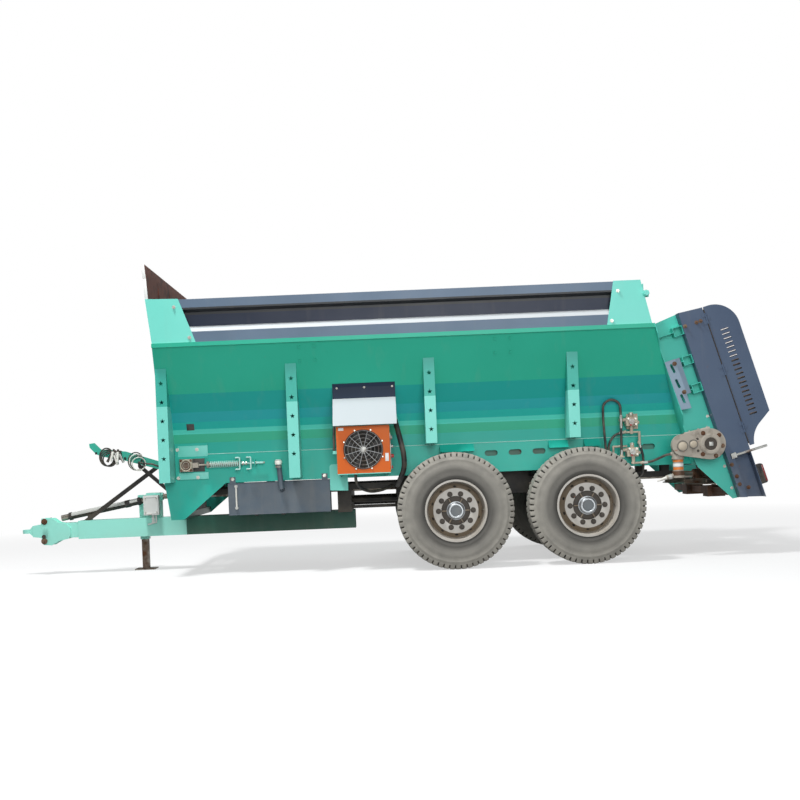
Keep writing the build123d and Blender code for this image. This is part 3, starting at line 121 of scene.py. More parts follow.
class Recipe:
    """Material written one node at a time, with the marks that weather leaves."""

    def __init__(self, name: str, owner: bpy.types.ID | None = None) -> None:
        """Start empty, in a new material or in the owner that is given."""
        self.material = owner or bpy.data.materials.new(name)
        self.material.use_nodes = True
        self.tree = self.material.node_tree
        self.tree.nodes.clear()

    def put(self, kind: str, inputs: dict | None = None, **settings: object) -> bpy.types.Node:
        """Add a node with its settings and links.

        Args:
            kind: Node type without its ShaderNode prefix.
            inputs: Input names or numbers, each with a value or the socket that feeds it.
            settings: Properties of the node itself.

        Returns:
            The new node.
        """
        node = self.tree.nodes.new("ShaderNode" + kind)
        for key, value in settings.items():
            setattr(node, key, value)
        for key, value in (inputs or {}).items():
            if isinstance(value, bpy.types.NodeSocket):
                self.tree.links.new(value, node.inputs[key])
            else:
                node.inputs[key].default_value = value
        return node

    def patches(self, size_mm: float, low: float = 0.0, high: float = 1.0, detail: float = 4.0,
                along: Point = (1, 1, 1)) -> Source:
        """Cloudy patches, as of dust, fading or rust.

        Args:
            size_mm: Distance between neighbouring patches.
            low: Level of the clouds at which a patch begins.
            high: Level at which it is full.
            detail: Octaves of finer clouds.
            along: How many times longer a patch is along each axis.

        Returns:
            Strength of the patch, from 0 to 1.
        """
        place = self.put("TexCoord").outputs["Object"]
        drawn_out = self.put("Mapping", {"Vector": place, "Scale": tuple(1.0 / many for many in along)})
        scale = 500.0 / size_mm
        cloud = self.put("TexNoise", {"Vector": drawn_out.outputs[0], "Scale": scale, "Detail": detail})
        return self.put("MapRange", {"Value": cloud.outputs["Fac"], "From Min": low, "From Max": high},
                        clamp=True).outputs["Result"]

    def splashed(self, low: float, high: float) -> Source:
        """Spray from the ground: full at a low height and gone at a high one."""
        place = self.put("TexCoord").outputs["Object"]
        up = self.put("SeparateXYZ", {0: place}).outputs["Z"]
        return self.put("MapRange", {"Value": up, "From Min": low, "From Max": high, "To Min": 1.0,
                                     "To Max": 0.0}, clamp=True).outputs["Result"]

    def film(self, under: object, over: object, where: Source, amount: float | Source = 1.0) -> Source:
        """Lay a film of one colour over another.

        Args:
            under: Colour below, or the socket that gives it.
            over: Colour of the film.
            where: Pattern that the film follows.
            amount: How much of it covers at most.

        Returns:
            The colour of both.
        """
        share = self.put("Math", {0: where, 1: amount}, operation="MULTIPLY").outputs[0]
        return self.put("Mix", {0: share, 6: under, 7: over}, data_type="RGBA").outputs[2]

    def gloss(self, shine: float, dull: float, where: Source) -> Source:
        """Roughness that goes from shiny to dull with a pattern."""
        return self.put("MapRange", {"Value": where, "To Min": shine, "To Max": dull}).outputs["Result"]

    def cured(self, inputs: dict, relief: tuple[tuple[Source, float], ...] = ()) -> bpy.types.Material:
        """Close the material with its shader and the relief of its surface.

        Args:
            inputs: Values and patterns for the shader's sockets.
            relief: Patterns, each with its depth in millimetres.

        Returns:
            The finished material.
        """
        inputs = dict(inputs)
        for pattern, depth_mm in relief:
            wanted = {"Height": pattern, "Strength": 1.0, "Distance": depth_mm / 1000}
            if "Normal" in inputs:
                wanted["Normal"] = inputs["Normal"]
            inputs["Normal"] = self.put("Bump", wanted).outputs["Normal"]
        shader = self.put("BsdfPrincipled", inputs)
        self.put("OutputMaterial", {"Surface": shader.outputs[0]})
        return self.material


class Finish:
    """Finish of a real material, some with light and shade painted in, built into one Blender material on
    first use.
    """

    name: str
    _built: dict[str, bpy.types.Material] = {}

    def material(self) -> bpy.types.Material:
        """Return the finish's material, and build it once."""
        if self.name not in Finish._built:
            Finish._built[self.name] = self.build()
        return Finish._built[self.name]

    def build(self) -> bpy.types.Material:
        """Build the material."""
        raise NotImplementedError


@dataclass(frozen=True)
class SprayedPaint(Finish):
    """Two-pack enamel sprayed on steel: a soft gloss with faint orange peel and
    slightly wavy sheet, faded in clouds, dusty low down, with runs of dirt and
    a few rust specks.
    """

    name: str
    colour: str
    faded: str
    roughness: float = 0.38
    dust: float = 0.35
    dust_top: float = 1.3
    rust: float = 0.0
    dust_colour: str = ROAD_DUST

    def weathered(self, recipe: Recipe, colour: Source) -> bpy.types.Material:
        """Lay dirt runs, dust and rust over a coat of paint and close it.

        Args:
            recipe: Material under way.
            colour: Colour of the clean coat.

        Returns:
            The finished material.
        """
        dust = linear(self.dust_colour)
        colour = recipe.film(colour, dust, recipe.patches(60, 0.58, 0.85, 3, (1, 1, 9)), 0.6 * self.dust)
        low = recipe.film(linear("#000000"), linear("#ffffff"), recipe.splashed(0.3, self.dust_top),
                          recipe.patches(90, 0.35, 0.7, 6))
        colour = recipe.film(colour, dust, low, self.dust)
        specks = recipe.patches(34, 0.74 - 0.12 * self.rust, 0.78 - 0.1 * self.rust, 8)
        colour = recipe.film(colour, linear(RUST_BROWN), specks, min(1.0, self.rust))
        rough = recipe.gloss(self.roughness - 0.05, self.roughness + 0.15, recipe.patches(160))
        return recipe.cured({"Base Color": colour, "Roughness": rough, "Coat Weight": 0.05,
                             "Specular IOR Level": 0.32, "Coat Roughness": 0.25},
                            ((recipe.patches(5, detail=2), 0.05), (recipe.patches(260, detail=2), 0.7)))

    def build(self) -> bpy.types.Material:
        """Build the paint from its fading and its weathering."""
        recipe = Recipe(self.name)
        coat = recipe.film(linear(self.colour), linear(self.faded), recipe.patches(420, 0.35, 0.7))
        return self.weathered(recipe, coat)


@dataclass(frozen=True)
class BandedPaintAndLight(SprayedPaint):
    """Sprayed enamel with bands along an axis, each in its own colour: painted
    light, shade and reflections on the facets of a folded sheet and on parts that
    stand in light or shade, and real two-tone paint on parts painted apart side by
    side. A band is its two limits in metres and its colour.
    """

    bands: tuple[tuple[float, float, str], ...] = ()
    axis: Axis = Axis.UP

    def build(self) -> bpy.types.Material:
        """Build the paint, with each band's colour between its limits."""
        recipe = Recipe(self.name)
        place = recipe.put("TexCoord").outputs["Object"]
        along = recipe.put("SeparateXYZ", {0: place}).outputs[self.axis.value]
        coat = recipe.film(linear(self.colour), linear(self.faded), recipe.patches(420, 0.35, 0.7))
        for low, high, colour in self.bands:
            above = recipe.put("Math", {0: along, 1: low}, operation="GREATER_THAN").outputs[0]
            below = recipe.put("Math", {0: along, 1: high}, operation="LESS_THAN").outputs[0]
            coat = recipe.film(coat, linear(colour), above, below)
        return self.weathered(recipe, coat)


@dataclass(frozen=True)
class WornSteel(Finish):
    """Bare mild steel polished by use: a dull metal gleam, with brown rust where
    nothing rubs it.
    """

    name: str
    colour: str = "#9a958c"
    rust: float = 0.5
    roughness: float = 0.42

    def build(self) -> bpy.types.Material:
        """Build the steel from scuffs and clouds of rust."""
        recipe = Recipe(self.name)
        rust = recipe.patches(70, 0.62 - 0.3 * self.rust, 0.78 - 0.2 * self.rust, 7)
        scuffs = recipe.patches(14, detail=6, along=(6, 1, 1))
        tone = recipe.film(linear("#38251a"), linear("#71482c"), recipe.patches(22, detail=6))
        colour = recipe.film(linear(self.colour), tone, rust)
        return recipe.cured({"Base Color": colour, "Metallic": recipe.gloss(1.0, 0.0, rust),
                             "Roughness": recipe.gloss(self.roughness, 0.85, rust)},
                            ((scuffs, 0.12), (rust, 0.3)))


@dataclass(frozen=True)
class CastHousing(Finish):
    """Sand-cast iron under thin grey primer: matt and pebbled, oil-stained, with
    rust bleeding through at the edges.
    """

    name: str
    colour: str = "#a49d91"
    stain: str = "#4b3f33"
    stained: float = 0.6

    def build(self) -> bpy.types.Material:
        """Build the casting from its sand grain and its stains."""
        recipe = Recipe(self.name)
        colour = recipe.film(linear(self.colour), linear(self.stain), recipe.patches(46, 0.54, 0.72, 6),
                             self.stained)
        colour = recipe.film(colour, linear("#8a4a22"), recipe.patches(26, 0.68, 0.74, 8), 0.8)
        return recipe.cured({"Base Color": colour, "Roughness": 0.62}, ((recipe.patches(4), 0.25),))


@dataclass(frozen=True)
class TyreRubber(Finish):
    """Carbon-black rubber with moulded rings on its side wall, greyed by dust
    that is thickest at the tread.
    """

    name: str
    centre: Point
    colour: str = "#7d7b75"
    dust_colour: str = "#ada99f"

    def build(self) -> bpy.types.Material:
        """Build the rubber, with dust by its distance from the axle."""
        recipe = Recipe(self.name)
        place = recipe.put("TexCoord").outputs["Object"]
        moved = recipe.put("Mapping", {"Vector": place, "Location": tuple(-value for value in self.centre)})
        flat = recipe.put("VectorMath", {0: moved.outputs[0], 1: (1, 0, 1)}, operation="MULTIPLY")
        reach = recipe.put("VectorMath", {0: flat.outputs[0]}, operation="LENGTH").outputs["Value"]
        worn = recipe.put("MapRange", {"Value": reach, "From Min": 0.40, "From Max": 0.56}, clamp=True)
        dust = linear(self.dust_colour)
        colour = recipe.film(linear(self.colour), dust, recipe.patches(80, 0.3, 0.75, 6), 0.3)
        colour = recipe.film(colour, dust, worn.outputs["Result"], recipe.patches(35, 0.2, 0.8, 6))
        # Darker towards the rim
        rim_darkening = recipe.put("MapRange", {"Value": reach, "From Min": 0.42, "From Max": 0.31}, clamp=True)
        colour = recipe.film(colour, linear("#353432"), rim_darkening.outputs["Result"], 0.85)
        turns = recipe.put("Math", {0: reach, 1: 1400.0}, operation="MULTIPLY").outputs[0]
        rings = recipe.put("Math", {0: turns}, operation="SINE").outputs[0]
        return recipe.cured({"Base Color": colour, "Roughness": 0.78, "Specular IOR Level": 0.35},
                            ((recipe.patches(3, detail=3), 0.2), (rings, 0.12)))


@dataclass(frozen=True)
class Moulding(Finish):
    """Moulded polymer or rubber with a fine spark-eroded grain and a film of dust."""

    name: str
    colour: str
    roughness: float = 0.5
    dust: float = 0.2

    def build(self) -> bpy.types.Material:
        """Build the moulding with its grain and a film of dust."""
        recipe = Recipe(self.name)
        colour = recipe.film(linear(self.colour), linear(ROAD_DUST), recipe.patches(50, 0.4, 0.8), self.dust)
        return recipe.cured({"Base Color": colour, "Roughness": self.roughness},
                            ((recipe.patches(2.5, detail=2), 0.05),))


@dataclass(frozen=True)
class PunchedSheet(Finish):
    """Rusty punched sheet: rows of round holes 12 mm apart, drawn at 24 mm to show."""

    name: str
    colour: str = "#5e2f24"
    spacing_mm: float = 24.0

    def build(self) -> bpy.types.Material:
        """Build the sheet from a grid of dark dots over rust."""
        recipe = Recipe(self.name)
        place = recipe.put("TexCoord").outputs["Object"]
        rows = recipe.put("TexVoronoi", {"Vector": place, "Scale": 1000 / self.spacing_mm, "Randomness": 0.0})
        hole = recipe.put("MapRange", {"Value": rows.outputs["Distance"], "From Min": 0.24, "From Max": 0.3,
                                       "To Min": 1.0, "To Max": 0.0}, clamp=True).outputs["Result"]
        colour = recipe.film(linear(self.colour), linear("#7d4331"), recipe.patches(200))
        colour = recipe.film(colour, linear("#3d1d18"), recipe.patches(60, 0.5, 0.7, 6))
        colour = recipe.film(colour, linear("#0c0908"), hole)
        return recipe.cured({"Base Color": colour, "Roughness": 0.7}, ((hole, -1.0),))


# Sprayed two-pack enamel, soft gloss: the machine's own green, with painted light, shade and reflections
# facet by facet on the walls
GREEN_FACET_LIGHT = BandedPaintAndLight("green_enamel_facet_light", "#1fa88b", "#25af92", dust=0.12, rust=0.12,
                    bands=((1.633, 1.812, "#119f97"), (1.537, 1.633, "#22a3a6"), (1.465, 1.537, "#18aba0"),
                           (1.418, 1.465, "#50cdbb"), (1.33, 1.418, "#35b08e"), (1.0, 1.33, "#20ab9b")))
# The same enamel in a teal of painted shade, on the front wall, sills and beaters
GREEN_SHADE = SprayedPaint("green_enamel_painted_shade", "#1aac9a", "#2ab7a5", dust=0.12, rust=0.12)
# The same enamel scoured by the load, on the floor of the hopper
GREEN_WORN = SprayedPaint("scoured_floor_enamel", "#4c8f80", "#62695f", roughness=0.6, dust=0.6, dust_top=0.7,
                          rust=0.8)
# The same enamel, paler as painted sunlight, on parts that lie open to the sun
GREEN_SUNLIT = SprayedPaint("green_enamel_painted_sunlight", "#70d3c4", "#7ddbcd", dust=0.08, rust=0.1)
# The same enamel on the drawbar: dark with the painted shade of the hopper, pale with painted sunlight ahead
# of it
GREEN_BEAM = BandedPaintAndLight("drawbar_green_enamel", "#215747", "#2a6353", dust=0.15, dust_top=0.5, rust=0.2,
                         axis=Axis.ALONG, bands=((-9.0, -2.07, "#9ae5d5"),))
# The same enamel on the folded posts: pale as painted sunlight, with the rim's painted shadow on the stretch
# below the rim
GREEN_POST = BandedPaintAndLight("post_green_enamel", "#74d3c5", "#80dacd", dust=0.08, rust=0.12,
                         bands=((1.69, 2.10, "#37ab9b"),))
# The same enamel on the leaning rear frames, between light and shade
GREEN_FRAME = SprayedPaint("frame_green_enamel", "#3fbcaa", "#4dc6b5", dust=0.1, rust=0.12)
# Pale enamel on a rough weld bead, as a painted highlight
WELD_HIGHLIGHT = SprayedPaint("weld_bead_painted_highlight", "#a9dfd4", "#b9e6dd", dust=0.2, rust=0.3)
# White enamel on the motor's band, and a painted highlight as the white edge of the screen
WHITE_ENAMEL_AND_HIGHLIGHT = SprayedPaint("white_enamel_and_edge_highlight", "#eceeec", "#e2e5e3", dust=0.1, rust=0.1)
# Pale grey on the upper half of the black PTO guard: a painted highlight
GUARD_PAINTED_HIGHLIGHT = SprayedPaint("guard_painted_highlight", "#b9bcb8", "#a9aca8", dust=0.2, rust=0.1)
# Black on the cooler's fins, and painted shade as the lips behind the wings' louvres
BLACK_FINS_AND_SHADE = SprayedPaint("black_fins_and_louvre_shade", "#1b1c1d", "#2a2b2b", dust=0.3, rust=0.1)
# Slate-coloured enamel on covers and boards, slightly dusty
SLATE = SprayedPaint("slate_enamel", "#42526a", "#4c5d74", dust=0.2, rust=0.25, roughness=0.4)
SLATE_LIGHT = SprayedPaint("light_slate_enamel", "#7c92a4", "#879cad", dust=0.15, rust=0.2, roughness=0.4)
SLATE_TANK = SprayedPaint("slate_tank_enamel", "#46535f", "#5a6874", dust=0.2, rust=0.2, roughness=0.42)
BLACK = SprayedPaint("black_chassis_enamel", "#111111", "#1b1a18", dust=0.2, rust=0.3, roughness=0.55)
# Baked powder coat on the cooler, clean and matt, and a dark slate hood in painted shade, with a painted
# reflection of the sun on its pale slope
ORANGE = SprayedPaint("orange_powder_coat", "#ce5a02", "#d66406", dust=0.0, roughness=0.5)
HOOD_SHADE_AND_REFLECTION = BandedPaintAndLight("hood_painted_shade_and_reflection", "#061b33", "#0a213a", dust=0.02, roughness=0.55,
                   bands=((1.40, 1.70, "#b4bcc0"),))
# Slate boards: a painted highlight on the fold, and painted shade in the recess above it
BOARDS = BandedPaintAndLight("slate_board_enamel", "#55687c", "#617489", dust=0.1, roughness=0.4,
                     bands=((2.402, 2.462, "#c4cacd"), (2.462, 2.575, "#16233a"), (2.575, 2.638, "#2b2e31")))
# Green arm plate between struts in chassis black
ARM_PAINT = BandedPaintAndLight("arm_and_strut_enamel", "#35a892", "#40b59e", dust=0.2, rust=0.2, axis=Axis.ACROSS,
                        bands=((-0.40, -0.0905, "#1a1a19"), (-0.0705, 0.40, "#1a1a19")))
# Bare and plated steels, from bright zinc to full rust
BOLT_STEEL = WornSteel("zinc_plated_steel", "#b8b6ae", rust=0.2, roughness=0.35)
RUSTY_BOLT = WornSteel("rusted_bolt_steel", "#8d7a68", rust=0.95, roughness=0.6)
WORKED_STEEL = WornSteel("worked_mild_steel", "#8f8a80", rust=0.55)
GREY_BAR = WornSteel("weathered_bar_steel", "#a7a8a4", rust=0.3, roughness=0.5)
WIRE = WornSteel("bright_guard_wire", "#c9ccce", rust=0.0, roughness=0.3)
# Painted springs and wheels, dulled by road dust
SPRING_STEEL = SprayedPaint("painted_spring_steel", "#aeddd4", "#bfe6df", roughness=0.4, dust=0.15)
RIM_SILVER = SprayedPaint("silver_wheel_enamel", "#c4c2bd", "#aaa59b", roughness=0.35, dust=0.4, dust_top=1.0,
                          rust=0.25, dust_colour="#8b7a63")
RIM_BROWN = SprayedPaint("dust_stained_wheel_enamel", "#776b5c", "#857a6b", roughness=0.6, dust=0.6,
                         dust_top=1.2, rust=0.4, dust_colour="#7b6a52")
RIM_GREY = SprayedPaint("grey_wheel_face_enamel", "#bebcb7", "#c5c2bc", roughness=0.5, dust=0.3, rust=0.15)
# Sand-cast iron, in primer or in oil, and the cast alloy of the hub caps
CASTING = CastHousing("primed_cast_iron")
CASTING_DARK = CastHousing("dark_cast_iron", "#6d6a63", "#2e2620")
VALVE_GREY = CastHousing("primed_valve_casting", "#bbb09d", "#6b5f50", 0.7)
HUB_DARK = CastHousing("oily_hub_casting", "#3a332b", "#1b1713")
OILY_RUST = CastHousing("oily_rusted_iron", "#5a3d28", "#1f160f", 0.9)
CAP_ALLOY = WornSteel("cast_alloy_cap", "#a5a9ac", rust=0.0, roughness=0.42)
# Moulded plastics and rubber
BLACK_PLASTIC = Moulding("black_glass_filled_nylon", "#121212", 0.5)
HOSE_RUBBER = Moulding("braided_hose_rubber", "#1a1b1c", 0.55, 0.3)
GREY_PLASTIC = Moulding("pale_grey_abs", "#dcdedb", 0.45, 0.15)
WHITE_PLASTIC = Moulding("white_nylon", "#e4e2da", 0.45, 0.2)
BLANK_LABEL = Moulding("blank_white_vinyl", "#e6e7e6", 0.35, 0.1)
BLANK_PLATE = Moulding("blank_black_vinyl", "#15171b", 0.35, 0.15)
CAP_PLATE = Moulding("blank_cap_plate", "#565d61", 0.3, 0.1)
# Dark rubber as painted shade in the creases of the tyres' grooves
GROOVE_SHADE = Moulding("tread_groove_painted_shade", "#1d1c1a", 0.85, 0.25)
AMBER_BAND = Moulding("orange_marking_tape", "#d9772b", 0.45, 0.2)
LENS_RED = Moulding("red_lens_acrylic", "#7d1216", 0.2, 0.1)
KNOB_RED = Moulding("red_knob_nylon", "#a8241f", 0.4, 0.15)
SCREEN_SHEET = PunchedSheet("rusted_punched_sheet")


# ------------------------------------------------------------------ shapes
def turned(profile: Outline | list[Pair], steps: int = 48, closed: bool = False) -> Shape:
    """Shape turned about Z.

    Args:
        profile: Radius and height of each point along the section.
        steps: Facets around.
        closed: Whether the last point joins the first.

    Returns:
        The turned shape.
    """
    shape = bmesh.new()
    verts = [shape.verts.new((radius, 0, height)) for radius, height in profile]
    edges = [shape.edges.new(pair) for pair in zip(verts, verts[1:])]
    if closed:
        edges.append(shape.edges.new((verts[-1], verts[0])))
    bmesh.ops.spin(shape, geom=verts + edges, cent=(0, 0, 0), axis=(0, 0, 1), angle=tau, steps=steps,
                   use_merge=True)
    bmesh.ops.remove_doubles(shape, verts=shape.verts, dist=1e-6)
    bmesh.ops.recalc_face_normals(shape, faces=shape.faces)
    return shape


def boxed(low: Point, high: Point, bevel: float = 0.002) -> Shape:
    """Box between two corners, with its edges rounded.

    Args:
        low: One corner.
        high: The opposite corner.
        bevel: Width of the rounding.

    Returns:
        The box.
    """
    shape = bmesh.new()
    bmesh.ops.create_cube(shape, size=1.0)
    size = [abs(b - a) for a, b in zip(low, high)]
    bmesh.ops.scale(shape, vec=size, verts=shape.verts)
    bmesh.ops.translate(shape, vec=[(a + b) / 2 for a, b in zip(low, high)], verts=shape.verts)
    if bevel:
        bmesh.ops.bevel(shape, geom=shape.edges[:], offset=min(bevel, min(size) / 3), segments=2,
                        profile=0.5, affect="EDGES", material=-1)
    return shape


def towards(point: Point, direction: Point) -> Matrix:
    """Placement that turns Z to a direction and moves the origin to a point."""
    turn = Vector((0, 0, 1)).rotation_difference(Vector(direction)).to_matrix().to_4x4()
    return Matrix.Translation(point) @ turn


def bar(start: Point, end: Point, radius: float, sides: int = 16, end_radius: float | None = None) -> Shape:
    """Round bar, or cone, between two points.

    Args:
        start: Middle of its first end.
        end: Middle of its other end.
        radius: Radius at the first end.
        sides: Facets around.
        end_radius: Radius at the other end; the same when left out.

    Returns:
        The bar.
    """
    run = Vector(end) - Vector(start)
    shape = bmesh.new()
    bmesh.ops.create_cone(shape, cap_ends=True, segments=sides, radius1=radius,
                          radius2=radius if end_radius is None else end_radius, depth=run.length)
    bmesh.ops.translate(shape, vec=(0, 0, run.length / 2), verts=shape.verts)
    bmesh.ops.transform(shape, matrix=towards(start, run), verts=shape.verts)
    return shape


def wound(radius: float, wire: float, turns: float = 1.0, pitch: float = 0.0, steps: int = 32,
          sides: int = 8) -> Shape:
    """Round wire wound about Z: a ring, or a coil when it climbs.

    Args:
        radius: From the axis to the middle of the wire.
        wire: Radius of the wire.
        turns: How many turns.
        pitch: Climb of each turn.
        steps: Facets in each turn.
        sides: Facets around the wire.

    Returns:
        The wire.
    """
    shape = bmesh.new()
    made = bmesh.ops.create_circle(shape, radius=wire, segments=sides, cap_ends=bool(pitch))
    bmesh.ops.rotate(shape, verts=made["verts"], cent=(0, 0, 0), matrix=Matrix.Rotation(pi / 2, 3, "X"))
    bmesh.ops.translate(shape, vec=(radius, 0, 0), verts=made["verts"])
    count = round(steps * turns)
    section = shape.verts[:] + shape.edges[:] + shape.faces[:]
    bmesh.ops.spin(shape, geom=section, cent=(0, 0, 0), axis=(0, 0, 1), dvec=(0, 0, pitch / steps),
                   angle=tau * turns, steps=count, use_merge=not pitch)
    bmesh.ops.remove_doubles(shape, verts=shape.verts, dist=1e-6)
    bmesh.ops.recalc_face_normals(shape, faces=shape.faces)
    return shape


def drawn(outline: Outline | list[Pair], thickness: float, bevel: float = 0.0) -> Shape:
    """Flat plate of an outline in XY, extruded up Z.

    Args:
        outline: Corners in order.
        thickness: Height of the plate.
        bevel: Width of the rounding of its edges.

    Returns:
        The plate.
    """
    shape = bmesh.new()
    face = shape.faces.new([shape.verts.new((x, y, 0)) for x, y in outline])
    made = bmesh.ops.extrude_face_region(shape, geom=[face])
    top = [item for item in made["geom"] if isinstance(item, bmesh.types.BMVert)]
    bmesh.ops.translate(shape, vec=(0, 0, thickness), verts=top)
    bmesh.ops.recalc_face_normals(shape, faces=shape.faces)
    if bevel:
        bmesh.ops.bevel(shape, geom=shape.edges[:], offset=bevel, segments=2, profile=0.5, affect="EDGES",
                        material=-1)
    return shape


def hex_bolt(size: float = 0.016, thread: float = 0.0) -> Shape:
    """Hexagon head or nut on its washer, standing up Z.

    Args:
        size: Diameter of the thread.
        thread: How far the thread's end stands out of the nut.

    Returns:
        The bolt.
    """
    shape = bmesh.new()
    cones = [(6, size * 0.92, size * 0.92, size * 0.62, size * 0.46),
             (18, size * 1.1, size * 1.1, size * 0.15, size * 0.075)]
    if thread:
        cones.append((12, size * 0.5, size * 0.42, thread, size * 0.77 + thread / 2))
    for sides, foot, head, depth, height in cones:
        made = bmesh.ops.create_cone(shape, cap_ends=True, segments=sides, radius1=foot, radius2=head,
                                     depth=depth)
        bmesh.ops.translate(shape, vec=(0, 0, height), verts=made["verts"])
    return shape


class Workpiece:
    """One piece that grows from shapes, each with its own finish."""

    def __init__(self, name: str, body: str = CHASSIS) -> None:
        """Start an empty piece that rides on a body."""
        self.name = name
        self.body = body
        self.mesh = bmesh.new()
        self.finishes: list[Finish] = []

    def add(self, shape: Shape, finish: Finish, place: Matrix | None = None, keep: bool = False) -> None:
        """Join a shape to the piece.

        Args:
            shape: The shape, used up unless it is kept.
            finish: Its finish.
            place: Where it goes; where it was made when left out.
            keep: Whether the shape is wanted again.
        """
        if finish not in self.finishes:
            self.finishes.append(finish)
        index = self.finishes.index(finish)
        carrier = bpy.data.meshes.new("carrier")
        for face in shape.faces:
            face.material_index = index
        shape.to_mesh(carrier)
        if place is not None:
            carrier.transform(place)
        self.mesh.from_mesh(carrier)
        bpy.data.meshes.remove(carrier)
        if not keep:
            shape.free()

    def bolt(self, finish: Finish, size: float, out: Point, *spots: Point, thread: float = 0.0) -> None:
        """Set bolt heads that stand out in one direction.

        Args:
            finish: Finish of the heads.
            size: Diameter of the thread.
            out: Direction that they stand out in.
            spots: Where each one sits.
            thread: How far the thread stands out of the nut.
        """
        head = hex_bolt(size, thread)
        for spot in spots:
            self.add(head, finish, towards(spot, out), keep=True)
        head.free()

    def finish(self, replaces: tuple[str, ...] = (), smooth: float = 32.0) -> bpy.types.Object:
        """Make the object, shade it and declare what it rides on.

        Args:
            replaces: CAD nodes that it stands for.
            smooth: Sharpest turn, in degrees, that is shaded as round.

        Returns:
            The finished object.
        """
        mesh = bpy.data.meshes.new(self.name)
        self.mesh.to_mesh(mesh)
        self.mesh.free()
        for finish in self.finishes:
            mesh.materials.append(finish.material())
        mesh.polygons.foreach_set("use_smooth", [True] * len(mesh.polygons))
        mesh.set_sharp_from_angle(angle=radians(smooth))
        piece = bpy.data.objects.new(self.name, mesh)
        bpy.context.scene.collection.objects.link(piece)
        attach(piece, self.body)
        if replaces:
            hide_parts(*replaces)
        LOG.info("%s: %d faces", self.name, len(mesh.polygons))
        return piece


def low_high(node: str) -> tuple[Vector, Vector]:
    """Lowest and highest corner of a CAD node."""
    low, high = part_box(node)
    return Vector(low), Vector(high)


def middle(node: str) -> Vector:
    """Middle of a CAD node's box."""
    low, high = low_high(node)
    return (low + high) / 2


def dress(finish: Finish, *nodes: str) -> None:
    """Give CAD nodes a finish."""
    for node in nodes:
        mesh = bpy.data.objects[node].data
        mesh.materials.clear()
        mesh.materials.append(finish.material())


# ------------------------------------------------------------------ wheels
def mirrored(outline: Outline) -> list[Pair]:
    """Outline on the other side of the wheel's middle, in reverse order."""
    return [(radius, -out) for radius, out in reversed(outline)]


